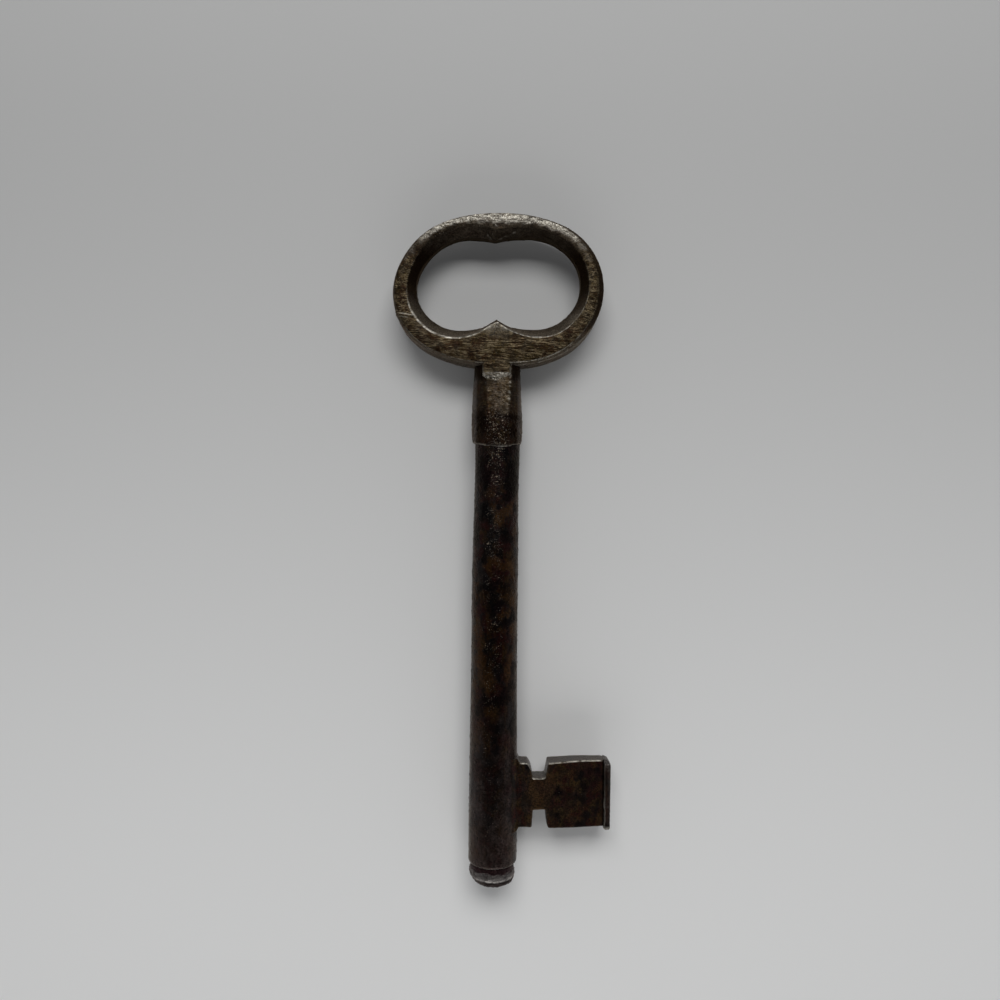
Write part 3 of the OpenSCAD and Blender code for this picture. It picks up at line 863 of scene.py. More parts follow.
def neckLoop(turns, toRight, y):
    # one loop of the body, a round bar with a slanted flat on each shoulder, and the mask of its facet's edge
    f = neckForm
    side = curveThrough(f["left"], y) * (1 - toRight) + curveThrough(f["right"], y) * toRight
    front = curveThrough(f["front"], y)
    halfFacet = f["facetHalf"] + f["facetShift"] * np.sign(np.sin(turns))
    slant = (halfFacet + front) / math.sqrt(2) + 0.06
    sharp = f["facetLeft"] + (f["facetRight"] - f["facetLeft"]) * toRight
    soft = f["roundness"]
    body = (1 / side) ** soft
    for turn in (45, 135, 225, 315):
        body = body + np.maximum(np.cos(turns - math.radians(turn)) / slant, 0) ** soft
    body = body ** (1 / soft)
    flat = np.maximum(np.abs(np.cos(turns)) / front, 1e-4)
    radius = (body ** sharp + flat ** sharp) ** (-1 / sharp)
    corner = bump(0, 0.04, body / flat - 1) * (0.2 + 0.8 * toRight) * (np.cos(turns) > 0)
    return loopOf(radius * np.sin(turns), y, radius * np.cos(turns)), 0.5 * corner * smooth(93.5, 96.5, y)


def buildNeck():
    f = neckForm
    turns = turnsOf(f["columns"])
    toRight = smooth(-0.3, 0.3, np.sin(turns))
    loops = [neckLoop(turns, toRight, y) for y in np.arange(f["top"], f["collar"] + 0.62, -f["rowStep"])]
    rows, edges = [list(part) for part in zip(*loops)]
    # the collar's lower edge is a worn slope that sags a little at the front
    # below it a ledge runs in to the shank
    last = rows[-1]
    size = np.hypot(last[:, 0], last[:, 2])
    wander = lumps(loopOf(np.sin(turns) * 5, np.cos(turns) * 5, 0), 2.2, 8, 2)
    sag = f["sag"] * np.maximum(np.cos(turns), 0) ** 1.8 + 0.3 * np.maximum(-np.cos(turns), 0) ** 2
    sag = sag - 0.09 * wander + 0.06 * np.sin(turns)
    for drop, inset, wear in f["ledge"]:
        loop = last * (1 - inset / size)[:, None]
        loop[:, 1] = f["collar"] + 0.66 - drop - sag * min(1, drop * 3)
        rows.append(loop)
        edges.append(np.full(turns.shape, wear))
    made = cappedTube("neckBolster", rows)
    places = pointsOf(made)
    x, y, z = places.T
    # low is 1 below a ragged line, where the neck is rough and dark
    low = smooth(95.6, 93.8, y + 0.9 * lumps(places, 1.6, 15, 3) + 0.12 * x)
    ripples = lumps(places, (2.6, 0.5, 2.6), 16) * smooth(0.9, 2.6, x) * (1 - low)
    dents = (0.016 + 0.022 * low) * lumps(places, 0.7, 17, 3) + 0.035 * ripples
    dents = dents + 0.03 * lumps(places, 2.8, 18)
    holes = pits(places, lambda p: 0.95 if p[1] < 94.8 else 0.05, **f["pits"])
    pushOut(made, dents - holes)

    # worn metal: file marks across the facet's right edge, and the collar's lower slope
    worn = np.append(np.ravel(edges), [0, 0])
    ticks = patches(-0.1, 0.35, places, (2.6, 0.45, 2.6), 16)
    onFacet = smooth(0.93, 0.985, z / np.maximum(curveThrough(f["front"], y), 1))
    shoulder = 0.3 * smooth(2.0, 3.2, z) * smooth(4.9, 4.0, np.abs(x))
    # soot low down and beside the front facet, and painted shadow in the corners under the ring; pale sides,
    # a painted reflection of the floor, and silver flecks
    blotch = lumps(places, (1.9, 2.4, 1.9), 19, 3)
    side = np.abs(x - 0.08)
    # painted shadow: the corners under the ring are darkened
    shadowUnderRing = smooth(100.8, 103.0, y) * smooth(3.0, 3.4, side)
    beside = bump(3.35, 0.4, side) * smooth(94, 96, y) * (z > 0)
    silver = smooth(1.5, 0.5, np.abs(x)) * onFacet * (1 - low)
    silver = silver * patches(-0.3, 0.3, places, (0.8, 0.4, 0.8), 20, 2)
    # painted reflection: the sides are paled where they would mirror the pale floor
    sides = smooth(4.1, 4.8, side) * (1 - 0.7 * shadowUnderRing)
    keepMasks(
        made,
        edge=worn * np.where(y > 89.5, ticks, 1),
        handled=np.maximum(onFacet * (np.abs(x - f["facetShift"]) < 3.3), shoulder) * (1 - low),
        pitted=0.12 + 0.88 * low,
        sooted=unit(low * (0.45 + 0.5 * smooth(-0.1, 0.3, blotch)) + shadowUnderRing + 0.6 * beside),
        paled=unit(0.62 * worn * smooth(88.7, 88.3, y) + 0.8 * sides + 0.22 * silver),
        warmed=low * smooth(0.05, 0.4, -blotch) * smooth(4.3, 3.2, side) * 0.7,
        flecked=low * smooth(3.6, 2.2, np.abs(x - 0.2)) + 0.15,
    )
    return made


# The shank

shankForm = {
    "columns": 132,
    "rowStep": 0.27,
    "top": shankHigh[1] + 0.25,
    "straightTo": 0.35,
    "radius": (
        (-1, 5.12), (6, 5.13), (12, 5.13), (22, 5.06), (32, 4.97), (45, 4.9), (56, 4.92), (66, 4.88),
        (75, 4.74), (80, 4.72), (84, 4.76), (89, 4.8)),
    "sway": ((-1, 0.1), (20, 0.07), (38, 0.02), (58, 0.0), (70, 0.06), (79, 0.14), (84, 0.22), (89, 0.22)),
    "end": (  # its lower end, rounded in to the groove: level, inset, wear
        (0.2, 0.0, 0.0), (0.0, 0.01, 0.0), (-0.2, 0.05, 0.0), (-0.36, 0.12, 0.0), (-0.46, 0.2, 0.35),
        (-0.53, 0.28, 0.6), (shankLow[1] + 0.02, 0.38, 0.35), (shankLow[1], 0.6, 0.0),
        (shankLow[1], 0.95, 0.0), (shankLow[1], 1.6, 0.0)),
    "pits": {"seed": 23, "count": 5200, "radius": (0.2, 0.4), "depthShare": (0.12, 0.3)},
}


def buildShank():
    f = shankForm
    turns = turnsOf(f["columns"])
    sines, cosines = np.sin(turns), np.cos(turns)
    rows = []
    edges = []
    straight = [(y, 0.0, 0.0) for y in np.arange(f["top"], f["straightTo"], -f["rowStep"])]
    for y, inset, wear in straight + list(f["end"]):
        hammered = 0.02 * lumps(loopOf(sines * 5, cosines * 5, y), (5, 5, 18), 31, 2)
        radius = curveThrough(f["radius"], y) - inset + hammered
        rows.append(loopOf(radius * sines + curveThrough(f["sway"], y), y, radius * cosines))
        edges.append(np.full(turns.shape, wear))
    made = cappedTube("shankBar", rows)
    places = pointsOf(made)
    along = places[:, 1]
    upper = smooth(30, 78, along + 6 * lumps(places, 9, 32, 2))
    dents = (0.006 + 0.02 * upper) * lumps(places, 0.8, 33, 3) + 0.012 * lumps(places, 3.0, 34, 2)
    holes = pits(places, lambda p: 0.9 if p[1] > 55 else 0.3, **f["pits"])
    pushOut(made, (dents - holes) * smooth(-0.5, 0.6, along))

    # rubbed grey, more so further down, with a darker strip down its middle that is painted shade, the dark
    # reflection of the room above its front
    blotch = lumps(places, (3.2, 3.8, 3.2), 35, 5)
    broad = lumps(places, (3.4, 4.6, 3.4), 36, 5)
    fine = lumps(places, (1.1, 2.2, 1.1), 46, 4)
    across = places[:, 0] - curveThrough(f["sway"], along)
    # painted shade: the strip down the front is kept darker
    middle = smooth(2.4, 0.9, np.abs(across + 0.3 + 0.8 * fine))
    middle = middle * smooth(6, 12, along) * smooth(44, 34, along)
    downTo = along + 1.2 * lumps(places, (1.6, 6, 1.6), 38, 2)
    greyed = 0.5 * smooth(45, 20, downTo) + 0.25 * smooth(22, 8, downTo) + 0.25 * smooth(6, 1, downTo)
    greyed = greyed * (1 - 0.65 * middle) * (0.45 + 0.55 * smooth(-0.3, 0.25, fine + 0.5 * broad))
    # black scale in blotches, a dark band under the neck, and golden patches and streaks between them
    deep = smooth(-0.05, 0.35, blotch) * smooth(18, 40, along) + 0.6 * smooth(75, 81, along + 2 * broad)
    lowDark = smooth(0.05, 0.4, blotch) * smooth(36, 26, along) * smooth(4, 8, along)
    golden = smooth(0.0, 0.4, broad)
    warm = 0.9 * golden * smooth(14, 50, along) * smooth(0.3, -0.1, blotch) * smooth(82, 76, along)
    streaky = patches(0.0, 0.4, places, (1.2, 7, 1.2), 39, 3) * smooth(62, 54, along) * smooth(20, 40, along)
    # painted glints: a strip of pale specks down the front, where pits would catch the light
    glintStrip = smooth(2.9, 1.2, np.abs(across + 0.35)) * patches(-0.6, 0.1, places, (3, 4, 3), 37, 2)
    dense = 0.6 + 0.4 * patches(-0.15, 0.35, places, 1.9, 40, 2)
    keepMasks(
        made,
        edge=edges,
        handled=greyed,
        pitted=0.3 + 0.7 * upper,
        sooted=np.clip(0.85 * deep + 0.35 * lowDark + 0.12 * middle, 0, 0.9),
        warmed=unit(warm + 0.55 * streaky + 0.3 * golden * smooth(16, 6, along)),
        flecked=glintStrip * dense * (0.62 + 0.38 * smooth(22, 55, along)) * smooth(2, 10, along),
    )
    return made


# The tip

tipForm = {
    "columns": 132,
    "profile": (  # distance down from the shank's end, radius, wear
        (-1.4, 2.4, 0.0), (-0.05, 2.5, 0.0), (-0.02, 4.4, 0.0), (0.3, 4.57, 0.0), (0.8, 4.59, 0.0),
        (1.18, 4.61, 0.0), (1.3, 4.66, 0.1), (1.4, 4.71, 0.25), (1.52, 4.74, 0.25), (1.7, 4.76, 0.2),
        (1.9, 4.77, 0.2), (2.1, 4.76, 0.35), (2.3, 4.75, 0.7), (2.45, 4.71, 1.0), (2.58, 4.66, 1.0),
        (2.7, 4.6, 0.6), (2.84, 4.54, 0.1), (3.05, 4.46, 0.0), (3.35, 4.32, 0.0), (3.65, 4.12, 0.0),
        (3.9, 3.85, 0.0), (4.1, 3.5, 0.0), (4.26, 3.05, 0.0), (4.37, 2.5, 0.0), (4.44, 1.8, 0.0),
        (4.48, 1.0, 0.0), (4.5, 0.3, 0.0)),
    "skew": 0.3,  # how far its lower end leans to the right
    "grooveEdge": 1.38,  # how far down the groove and the band below it end
    "bandEdge": 2.5,
    "pits": {"seed": 24, "count": 420, "radius": (0.15, 0.36), "depthShare": (0.2, 0.4)},
}


def buildTip():
    f = tipForm
    turns = turnsOf(f["columns"])
    sines, cosines = np.sin(turns), np.cos(turns)
    around = loopOf(sines * 5, cosines * 5, 0)
    # the groove is wider on one side
    upperEdge = 0.42 * lumps(around, 1.7, 41, 3) + 0.3 * np.sin(turns + 2.4)
    lowerEdge = 0.1 * lumps(around, 1.6, 44, 2)
    profile = np.array(f["profile"])
    fine = np.linspace(0, len(profile) - 1, 3 * len(profile))
    rows = []
    edges = []
    inGroove = []
    for depth, radius, worn in zip(*[np.interp(fine, np.arange(len(profile)), part) for part in profile.T]):
        shift = upperEdge * bump(f["grooveEdge"], 0.42, depth) + lowerEdge * bump(f["bandEdge"], 0.3, depth)
        aside = f["skew"] * smooth(2.0, 3.6, depth)
        rows.append(loopOf(radius * sines + aside, shankLow[1] - depth + shift, radius * cosines))
        patchy = 0.6 + 0.4 * np.cos(turns - 0.35) if depth > 2 else np.ones(turns.shape)
        edges.append(worn * patchy)
        inGroove.append(np.full(turns.shape, smooth(1.36, 1.24, depth)))
    made = cappedTube("tipNose", rows)
    inGroove = np.append(np.ravel(inGroove), [1, 0])
    places = pointsOf(made)
    y = places[:, 1]
    dents = 0.04 * lumps(places, 1.3, 42, 3) + 0.02 * lumps(places, 0.6, 43, 2)
    holes = pits(places, lambda p: 0.8, **f["pits"])
    pushOut(made, (dents - holes) * smooth(-0.65, -1.1, y))
    # the groove is brown, the band is rubbed, and the rim at the end is darkened with painted shade
    mottled = patches(-0.05, 0.35, places, (1.1, 0.8, 1.1), 45, 3) * (1 - inGroove)
    keepMasks(
        made,
        edge=edges,
        handled=smooth(-1.6, -1.9, y) * smooth(-3.6, -3.2, y),
        pitted=0.5,
        sooted=unit(0.4 * inGroove + 0.85 * smooth(-3.15, -3.45, y) + 0.5 * mottled),
        warmed=inGroove,
    )
    return made


# The bit and its rib

bitForm = {
    "spacing": 0.3,
    "rootHalf": 2.5,
    "rootThickTo": 10.0,
    "edgeHalf": 1.85,
    "inside": 3.2,  # where the plate ends, hidden in the shank
    "weld": 1.5,  # how softly the plate runs on to the shank
    "low": bitLow[1],
    "top": bitLow[1] + 13.3,
    "topEdge": bitHigh[1],
    "edgeRound": 0.3,
    "outer": ribLow[0] + 0.35,
    "wallRows": 12,
    "pits": {"seed": 25, "count": 420, "radius": (0.2, 0.42), "depthShare": (0.12, 0.3)},
}


def bitOutline():
    # corner points from the lower root round to the upper root, with a rounding radius for each
    f = bitForm
    low, top, topEdge = f["low"], f["top"], f["topEdge"]
    return [
        ((f["inside"], low - 0.9), 0.0), ((5.22, low - 0.9), 0.55), ((5.45, low + 0.02), 0.45),
        ((8.25, low - 0.06), 0.35), ((8.38, low + 1.6), 0.5), ((8.5, low + 3.58), 0.3),
        ((11.15, low + 3.66), 0.25), ((11.35, low + 0.8), 0.3), ((11.75, low - 0.2), 0.4),
        ((17.5, low - 0.14), 2.0), ((f["outer"], low + 0.2), 0.0), ((f["outer"], topEdge - 0.12), 0.0),
        ((18.0, topEdge - 0.22), 2.0), ((11.62, top + 0.04), 0.3), ((11.3, top - 1.6), 1.0),
        ((10.95, top - 3.05), 0.45), ((8.42, top - 3.12), 0.3), ((8.1, top - 1.3), 1.0),
        ((7.3, top + 0.05), 0.35), ((5.5, top + 0.08), 0.45), ((5.2, top + 0.9), 0.55),
        ((f["inside"], top + 0.9), 0.0),
    ]


def roundedOutline(corners, spacing):
    # points round a closed outline at an even spacing, with each corner replaced by a smooth bend
    path = []
    for i, (place, radius) in enumerate(corners):
        here = np.array(place)
        ends = []
        for other in (corners[i - 1], corners[(i + 1) % len(corners)]):
            side = np.array(other[0]) - here
            long = np.linalg.norm(side)
            ends.append(here + side / long * min(radius, long * 0.45))
        for t in (0.0, 0.2, 0.4, 0.6, 0.8, 1.0) if radius else (0.5,):
            path.append(ends[0] * (1 - t) ** 2 + here * 2 * t * (1 - t) + ends[1] * t * t)
    path = np.array(path + path[:1])
    lengths = np.concatenate([[0], np.cumsum(np.linalg.norm(np.diff(path, axis=0), axis=1))])
    places = np.linspace(0, lengths[-1], int(lengths[-1] / spacing), endpoint=False)
    return np.stack([np.interp(places, lengths, column) for column in path.T], axis=-1)


def distanceTo(outline, places):
    # distance from each place to the closed outline
    best = np.full(len(places), np.inf)
    for a, b in zip(outline, np.roll(outline, -1, axis=0)):
        way = b - a
        t = unit(((places - a) @ way) / max(way @ way, 1e-12))
        best = np.minimum(best, np.linalg.norm(places - a - t[:, None] * way, axis=1))
    return best


def bitHalfThickness(x):
    # half the plate's thickness, which swells smoothly on to the shank's round surface near the root
    f = bitForm
    thinner = (f["rootHalf"] - f["edgeHalf"]) * smooth(f["rootThickTo"] - 1, ribLow[0] + 1.5, x)
    plate = f["rootHalf"] - np.where(x < f["rootThickTo"], 0, thinner)
    radius = shankHigh[2] - 0.02
    bar = np.sqrt(np.maximum(radius ** 2 - x ** 2, 0))
    k = f["weld"]
    mixed = unit(0.5 + 0.5 * (bar - plate) / k)
    swelled = plate * (1 - mixed) + bar * mixed + k * mixed * (1 - mixed)
    groove = 0.55 * smooth(ribLow[0] - 0.12, ribLow[0] + 0.06, x)
    return swelled - 0.3 * smooth(4.3, 3.4, x) - groove


def bitSheet():
    # the plate seen flat: its points, triangles closer together at the rim, the rim's points in order, and
    # how far each point is from the rim
    f = bitForm
    outline = roundedOutline(bitOutline(), f["spacing"] * 0.6)
    along = np.roll(outline, -1, axis=0) - np.roll(outline, 1, axis=0)
    inward = np.stack([-along[:, 1], along[:, 0]], axis=-1)
    inward /= np.linalg.norm(inward, axis=1, keepdims=True)
    loops = [outline]
    for inset in (0.07, 0.16, 0.3, 0.5):
        moved = outline + inward * inset
        loops.append(moved[distanceTo(outline, moved) > inset * 0.93])
    xs = np.arange(f["inside"] + 0.3, f["outer"], f["spacing"])
    ys = np.arange(f["low"] - 1.2, f["topEdge"] + 0.6, f["spacing"])
    grid = np.stack(np.meshgrid(xs, ys), axis=-1).reshape(-1, 2)
    grid = grid + np.random.default_rng(5).uniform(-0.05, 0.05, grid.shape)
    count = len(outline)
    sides = [[i, (i + 1) % count] for i in range(count)]
    flat = [Vector(p) for p in np.vstack(loops + [grid])]
    found, _, triangles, came, _, _ = geometry.delaunay_2d_cdt(flat, sides, [list(range(count))], 1, 1e-5)
    places = np.array([(p.x, p.y) for p in found])
    rim = [0] * count
    for i, sources in enumerate(came):
        for source in sources:
            if source < count:
                rim[source] = i
    return places, triangles, rim, distanceTo(outline, places)


def buildBit():
    f = bitForm
    flat, triangles, rim, inset = bitSheet()
    t = unit(inset / f["edgeRound"])
    edgeDrop = f["edgeRound"] * (1 - np.sqrt(np.maximum(1 - (1 - t) ** 2, 0)))
    half = bitHalfThickness(flat[:, 0]) - edgeDrop * (1 - smooth(5.6, 4.6, flat[:, 0]))
    front = np.concatenate([flat, half[:, None]], axis=1)
    back = front * [1, 1, -1]
    n, count = len(flat), len(rim)
    faces = [list(tri) for tri in triangles] + [[n + k for k in reversed(tri)] for tri in triangles]

    # the rim's walls, between the front and back loops
    shares = [k / f["wallRows"] for k in range(1, f["wallRows"])]
    walls = [front[rim] * (1 - share) + back[rim] * share for share in shares]
    between = [[2 * n + k * count + i for i in range(count)] for k in range(len(walls))]
    loops = [rim] + between + [[n + i for i in rim]]
    for upper, lower in zip(loops, loops[1:]):
        for i in range(count):
            j = (i + 1) % count
            faces.append([upper[j], upper[i], lower[i], lower[j]])
    made = makeObject("bitPlate", np.vstack([front, back] + walls), faces)
    places = pointsOf(made)
    x, y, z = places.T
    # painted highlight: the rim's edges are bright mostly where they face up towards the light
    up = smooth(0.1, 0.5, readVertices(made, "normal")[:2 * n, 1])
    edge = np.tile(bump(0.1, 0.13, inset), 2) * smooth(5.4, 6.4, x[:2 * n]) * (0.08 + 0.92 * up)
    dents = 0.03 * lumps(places, 2.6, 51, 2) + 0.014 * lumps(places, 0.8, 52, 3)
    pushOut(made, dents - pits(places, lambda p: 0.4, **f["pits"]))

    # soot on the outer corner, in spots and in streaks at the root, and painted shade beside the rib; the web
    # is warm brown
    onFace = 1 - (np.abs(z) < bitHalfThickness(x) - 0.2)
    streaks = patches(-0.2, 0.3, places, (0.6, 2.4, 0.6), 57, 3) * smooth(8.8, 7.2, x) * onFace
    blotch = lumps(places, 3.2, 54, 3)
    corner = smooth(0.2, 0.5, blotch + 0.9 * bump(20.5, 3.2, x) * bump(17.5, 3.5, y)) * smooth(6, 8, x)
    shadeBesideRib = smooth(ribLow[0] - 0.16, ribLow[0] - 0.02, x)
    spots = patches(0.1, 0.4, places, (2.2, 2.2, 3), 55, 3) * smooth(5.5, 7, x)
    web = bump(9.6, 2.2, x)
    keepMasks(
        made,
        edge=edge,
        handled=0.25,
        flecked=0.2,
        pitted=unit(0.35 + 0.4 * lumps(places, 4.0, 53, 2)),
        # painted light: the plate's upward-facing top wall is paled
        paled=(1 - onFace) * smooth(16.5, 17.2, y) * 0.8 + 0.12 * streaks,
        sooted=unit(0.5 * corner + 0.4 * spots + shadeBesideRib + 0.5 * streaks) * onFace,
        warmed=unit(0.85 * web + 0.5 * patches(-0.05, 0.4, places, (2.0, 1.8, 2.0), 56, 5)) * onFace,
    )
    return made


ribForm = {
    "columns": 80,
    "rows": 150,
    "squareness": 7,
    "cornerWide": 1.45,  # its rounded upper outer corner
    "cornerHigh": 1.35,
    "chamfer": 0.95,  # on the upper ends of both faces
    "footRound": 0.5,
    "swell": 0.12,  # the small lump at its foot
    "low": ribLow[1] - 0.12,
    "top": ribHigh[1] - 0.06,
    "inner": ribLow[0] + 0.14,
    "outer": ribHigh[0] + 0.08,
}


def buildRib():
    f = ribForm
    turns = turnsOf(f["columns"])
    cosines, sines = np.cos(turns), np.sin(turns)
    p = f["squareness"]
    squared = (np.abs(cosines) ** p + np.abs(sines) ** p) ** (-1 / p)
    diagonal = bump(0.25 * math.pi, 0.16, np.arctan2(np.abs(sines), np.abs(cosines)))
    bottom, top, r = f["low"], f["top"], f["footRound"]
    rows = []
    edges = []
    for t in np.linspace(0, 1, f["rows"]):
        y = bottom + (top - bottom) * (0.5 - 0.5 * math.cos(math.pi * t))
        below = top - y
        reachUp = max(f["cornerHigh"] - below, 0) / f["cornerHigh"]
        inset = f["cornerWide"] * (1 - math.sqrt(max(1 - reachUp ** 2, 0)))
        foot = r - math.sqrt(max(r ** 2 - max(r - (y - bottom), 0) ** 2, 0))
        lower = smooth(16, 10, y)
        wave = lumps([0.0, y, 3.0], 1.0, 61, 2)
        wide = lumps([5.0, y, 3.0], 1.7, 62, 2)
        swell = f["swell"] * bump(bottom + 0.55, 0.6, y)
        x0 = f["inner"] + (0.05 + 0.22 * lower) * wave + foot * 0.7 - swell
        x1 = f["outer"] - inset - foot * 0.7 + 0.03 * wide - 0.1 * smooth(18, 9, y)
        depth = (ribHigh[2] - 0.08) * (1 - 0.025 * wide * lower) - foot - max(f["chamfer"] - below, 0)
        reach = max((x1 - x0) / 2, 0.03)
        x = (x0 + x1) / 2 + reach * cosines * squared
        rows.append(loopOf(x, y, max(depth, 0.05) * sines * squared))
        inner = diagonal * np.where(cosines < 0, 0.15 + 0.75 * lower, 0.12)
        edges.append(unit(inner * (below > f["chamfer"]) + 0.5 * (y < bottom + 0.8)))
    made = cappedTube("bitRib", rows)
    places = pointsOf(made)
    x, y, _ = places.T
    lower = smooth(15, 8, y)
    pushOut(made, (0.015 + 0.045 * lower) * lumps(places, 0.9, 63, 2) + 0.015 * lumps(places, 0.45, 64, 2))
    # its chamfered top and its outer side are pale, and the rest has warm patches
    onTop = smooth(top - f["chamfer"] - 0.1, top - f["chamfer"] + 0.1, y)
    outside = smooth(ribHigh[0] - 0.75, ribHigh[0] - 0.3, x)
    keepMasks(
        made,
        edge=edges,
        handled=0.3,
        pitted=0.4,
        paled=unit(0.8 * onTop + 0.3 * outside),
        warmed=patches(0.0, 0.4, places, (1.5, 2.4, 1.5), 65, 2) * (1 - onTop) * (1 - outside),
    )
    return made


bow = buildBow()
print("bow built")
neck = buildNeck()
print("neck built")
shank = buildShank()
print("shank built")
tip = buildTip()
print("tip built")
bit = buildBit()
rib = buildRib()
print("bit and rib built")


# Finishes

def ringStrokes(n, at, look):
    # level strokes on the lower bar, and short strokes across the bar everywhere else
    parts = n.parts(at)
    up = n.minus(parts[1], ring["middleY"])
    reach = n.maths("SQRT", n.plus(n.times(parts[0], parts[0]), n.times(up, up)))
    around = n.times(n.maths("ARCTAN2", up, parts[0]), 20.0)
    acrossHeight, acrossBright = marksAt(n, n.joined(reach, around, parts[2]), look, 0.5)
    levelHeight, levelBright = strokesAlong(-3)(n, at, look)
    low = n.mask("low")
    return n.blend(low, acrossHeight, levelHeight), n.blend(low, acrossBright, levelBright)


bowLook = {
    "ground": (0.0125, 0.0072, 0.0028),
    "gold": (0.026, 0.0170, 0.0056),
    "rust": (0.0135, 0.0046, 0.0020),
    "scale": (0.0035, 0.0018, 0.0010),
    "handled": (0.0190, 0.0126, 0.0042),
    "handTone": 0.35,
    "warm": (0.0125, 0.0050, 0.0020),
    "soot": (0.0042, 0.0020, 0.0012),
    "pale": (0.094, 0.079, 0.060),
    "pitColour": (0.004, 0.0018, 0.001),
    "speck": (0.34, 0.32, 0.27),
    "line": (0.165, 0.130, 0.078),
    "bare": (0.445, 0.42, 0.365),
    "goldShare": 0.5,
    "rustShare": 0.5,
    "scaleShare": 0.36,
    "patchSize": 1.3,
    "contrast": 0.65,
    "trough": 0.5,
    "pitSize": 0.55,
    "pitShare": 0.4,
    "speckShare": 0.45,
    "pitDepth": 0.07,
    "grainDepth": 0.018,
    "strokes": ringStrokes,
    "pitch": 0.2,
    "strokeLength": 2.4,
    "cover": 0.6,
    "strokeDepth": 0.08,
    "glint": 0.7,
    "edgeWear": 1.0,
    "metallic": 0.6,
    "roughness": 0.36,
    "bareRoughness": 0.3,
    "ior": 1.45,
    "specular": 0.12,
    "specularTint": (1.0, 0.82, 0.64),
}
neckLook = dict(
    bowLook,
    ground=(0.015, 0.0080, 0.0034),
    gold=(0.033, 0.021, 0.0075),
    rust=(0.016, 0.0062, 0.0028),
    handled=(0.0155, 0.0095, 0.0032),
    handTone=0.75,
    warm=(0.020, 0.0085, 0.0045),
    soot=(0.0028, 0.0013, 0.0011),
    pale=(0.085, 0.076, 0.072),
    speck=(0.19, 0.135, 0.085),
    line=(0.16, 0.133, 0.098),
    scaleShare=0.45,
    goldShare=0.4,
    pitSize=0.5,
    pitShare=0.6,
    speckShare=0.42,
    pitDepth=0.12,
    strokes=strokesAlong(0),
    strokeLength=1.0,
    cover=0.5,
    glint=0.6,
    edgeWear=0.75,
    roughness=0.31,
    patchSize=1.6,
)
shankLook = dict(
    bowLook,
    ground=(0.0052, 0.0024, 0.0014),
    gold=(0.022, 0.0115, 0.0040),
    rust=(0.0135, 0.0034, 0.0030),
    scale=(0.0013, 0.0012, 0.0016),
    handled=(0.044, 0.0315, 0.0285),
    handTone=0.85,
    warm=(0.030, 0.0135, 0.0040),
    soot=(0.0014, 0.0013, 0.0017),
    pale=(0.05, 0.042, 0.038),
    speck=(0.17, 0.105, 0.053),
    line=(0.045, 0.034, 0.03),
    goldShare=0.42,
    scaleShare=0.42,
    patchSize=0.8,
    contrast=0.85,
    pitSize=0.5,
    pitShare=0.5,
    speckShare=0.6,
    pitDepth=0.13,
    strokes=strokesAlong(90),
    pitch=0.5,
    strokeLength=4.0,
    cover=0.5,
    strokeDepth=0.02,
    glint=0.5,
    trough=0.3,
    metallic=0.55,
    roughness=0.26,
    specular=0.14,
    specularTint=(1.0, 0.92, 0.84),
)
bitLook = dict(
    shankLook,
    ground=(0.0145, 0.0072, 0.0038),
    gold=(0.034, 0.0205, 0.0082),
    rust=(0.0205, 0.0056, 0.0046),
    scale=(0.0036, 0.0026, 0.0024),
    warm=(0.045, 0.0245, 0.0105),
    soot=(0.0038, 0.0030, 0.0038),
    pale=(0.060, 0.053, 0.047),
    handTone=0.0,
    goldShare=0.5,
    scaleShare=0.38,
    pitShare=0.35,
    speckShare=0.2,
    pitDepth=0.06,
    patchSize=1.2,
    roughness=0.32,
    metallic=0.4,
)
ribLook = dict(
    bitLook,
    ground=(0.049, 0.039, 0.033),
    gold=(0.056, 0.046, 0.040),
    rust=(0.028, 0.0145, 0.0105),
    warm=(0.026, 0.0135, 0.0085),
    pale=(0.075, 0.070, 0.066),
    edgeWear=0.8,
    metallic=0.45,
)
tipLook = dict(
    bowLook,
    ground=(0.026, 0.0190, 0.0185),
    gold=(0.045, 0.0380, 0.0365),
    rust=(0.018, 0.0070, 0.0080),
    scale=(0.007, 0.0045, 0.0048),
    handled=(0.040, 0.0335, 0.0320),
    handTone=0.6,
    warm=(0.024, 0.0085, 0.0100),
    soot=(0.0075, 0.0055, 0.0050),
    line=(0.125, 0.112, 0.106),
    bare=(0.34, 0.32, 0.30),
    scaleShare=0.42,
    rustShare=0.45,
    strokes=strokesAlong(0),
    patchSize=1.8,
    specularTint=(1.0, 0.9, 0.86),
)

pieces = [
    (bow, "bow", "worn_iron", bowLook),
    (neck, "neck", "worn_iron", neckLook),
    (shank, "shank", "dark_iron", shankLook),
    (bit, "bit", "brown_iron", bitLook),
    (rib, "bit_rib", "brown_iron", ribLook),
    (tip, "tip", "pale_iron", tipLook),
]
for piece, node, slot, look in pieces:
    piece.data.materials.append(ironMaterial(piece.name + "Iron", look))
    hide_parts(node)
    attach(piece, "root")
print("finishes made")


# Floor, lights and camera

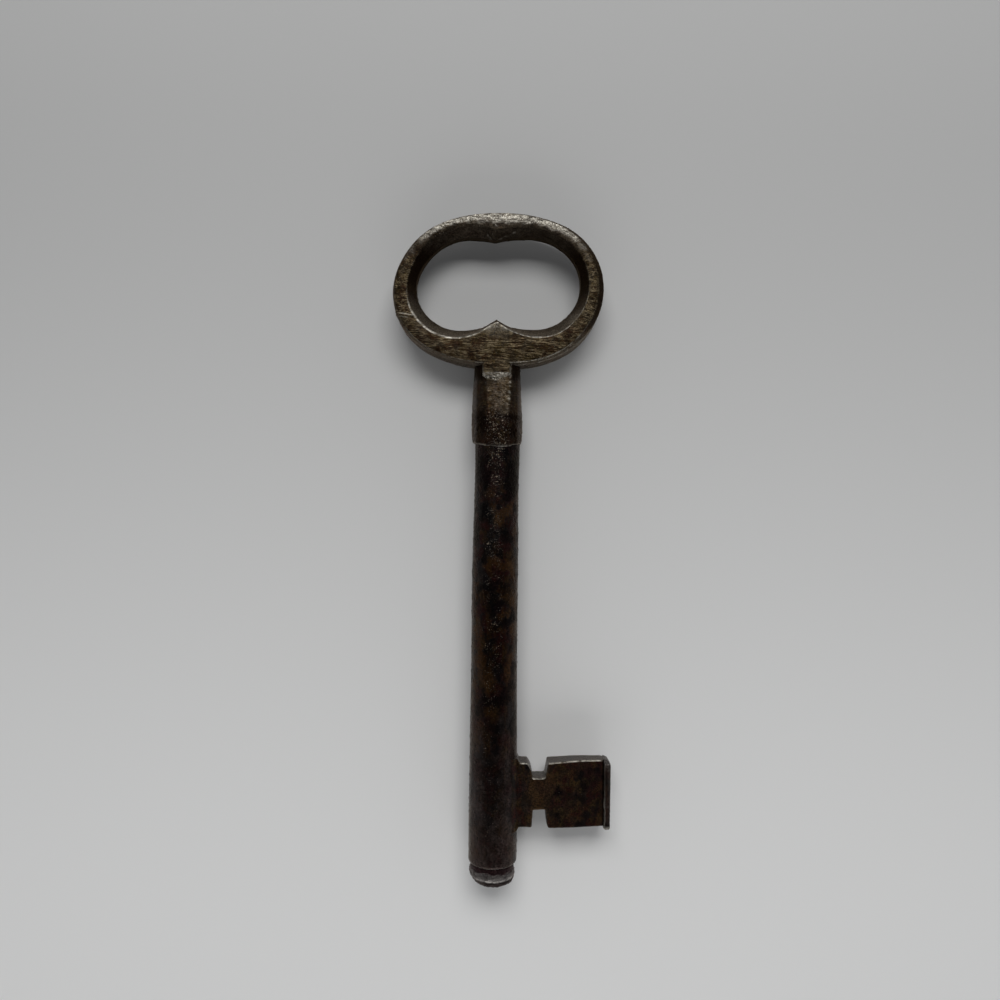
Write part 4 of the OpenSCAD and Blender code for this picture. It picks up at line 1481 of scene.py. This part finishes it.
stageLook = {
    "floorFar": (0.44, 0.44, 0.435, 1),  # the floor's tone beyond the ring
    "farFrom": 0.17,
    "floorNear": (0.84, 0.84, 0.83, 1),  # and below the tip
    "nearFrom": -0.04,
    "fadeFrom": 0.26,  # from here to fadeTo, in metres, the floor takes the horizon's colour
    "fadeTo": 0.9,
    "floorSize": 4.0,
    "horizon": 0.75,  # how bright the room looks near the floor
    "horizonTo": 0.05,  # heights in the room, 1 straight above
    "ceiling": 0.04,
    "ceilingFrom": 0.75,
    "tint": (0.94, 0.96, 1.0, 1),
    "lampsAim": (0.0, 0.09, 0.0),
    "lamps": (  # name, place, width and height, how bright its face looks
        ("upperSoftBox", (0.02, 0.40, 0.42), (0.46, 0.23), 6.0),
        ("lowerSoftBox", (0.0, -0.42, 0.2), (0.6, 0.35), 1.5)),
}


def makeFloor():
    f = stageLook
    half = f["floorSize"] / 2 / mm
    level = min(neckLow[2], shankLow[2])
    corners = loopOf([-half, half, half, -half], [-half, -half, half, half], level)
    floor = makeObject("floor", corners, [[0, 1, 2, 3]])
    material = bpy.data.materials.new("floorPaper")
    material.use_nodes = True
    n = Nodes(material.node_tree)
    place = n.put("ShaderNodeTexCoord")["Object"]
    near = n.remap(n.parts(place)[1], f["farFrom"], f["nearFrom"])
    pale = n.mix(near, f["floorFar"], f["floorNear"])
    paper = n.fill(n.tree.nodes["Principled BSDF"], {"Base Color": pale, "Roughness": 0.9})
    distance = n.put("ShaderNodeVectorMath", {0: place}, operation="LENGTH")["Value"]
    path = n.put("ShaderNodeLightPath")
    direct = n.larger(path["Is Camera Ray"], path["Is Glossy Ray"])
    seen = n.times(n.remap(distance, f["fadeFrom"], f["fadeTo"]), direct)
    glow = n.put("ShaderNodeEmission", {"Color": f["tint"], "Strength": f["horizon"]})
    mixed = n.put("ShaderNodeMixShader", {0: seen, 1: paper[0], 2: glow[0]})
    n.fill(n.tree.nodes["Material Output"], {0: mixed[0]})
    floor.data.materials.append(material)


def makeLamp(name, place, size, radiance):
    data = bpy.data.lights.new(name, "AREA")
    data.shape = "RECTANGLE"
    data.size, data.size_y = size
    data.energy = radiance * math.pi * size[0] * size[1]
    lamp = bpy.data.objects.new(name, data)
    lamp.location = place
    ahead = Vector(stageLook["lampsAim"]) - Vector(place)
    lamp.rotation_euler = ahead.to_track_quat("-Z", "Y").to_euler()
    lamp.visible_camera = False
    bpy.context.scene.collection.objects.link(lamp)


def makeLights():
    f = stageLook
    for lamp in f["lamps"]:
        makeLamp(*lamp)
    world = bpy.data.worlds.new("softRoom")
    bpy.context.scene.world = world
    world.use_nodes = True
    n = Nodes(world.node_tree)
    up = n.parts(n.put("ShaderNodeTexCoord")["Generated"])[2]
    level = n.remap(up, f["horizonTo"], f["ceilingFrom"], f["horizon"], f["ceiling"])
    n.fill(n.tree.nodes["Background"], {"Color": f["tint"], "Strength": level})


camera = {
    "place": (0.897, 70.26, 162.2),
    "aim": (0.897, 75.92, 0.0),
    "roll": 0.6146,  # degrees by which the key's upper end leans to the right in the picture
    "lens": 27.04,
    "sensor": 36,
}


def makeCamera():
    data = bpy.data.cameras.new("photoCamera")
    data.lens = camera["lens"]
    data.sensor_width = camera["sensor"]
    data.clip_start = 0.005
    eye = Vector(camera["place"]) * mm
    ahead = (Vector(camera["aim"]) * mm - eye).normalized()
    side = ahead.cross(Vector((0, 1, 0))).normalized()
    up = side.cross(ahead)
    turn = math.radians(camera["roll"])
    upRolled = up * math.cos(turn) - side * math.sin(turn)
    sideRolled = side * math.cos(turn) + up * math.sin(turn)
    basis = Matrix((sideRolled, upRolled, -ahead)).transposed()
    made = bpy.data.objects.new("photoCamera", data)
    made.matrix_world = Matrix.Translation(eye) @ basis.to_4x4()
    bpy.context.scene.collection.objects.link(made)
    bpy.context.scene.camera = made


makeFloor()
makeLights()
makeCamera()
bpy.context.scene.view_settings.view_transform = "Standard"
print("stage made")
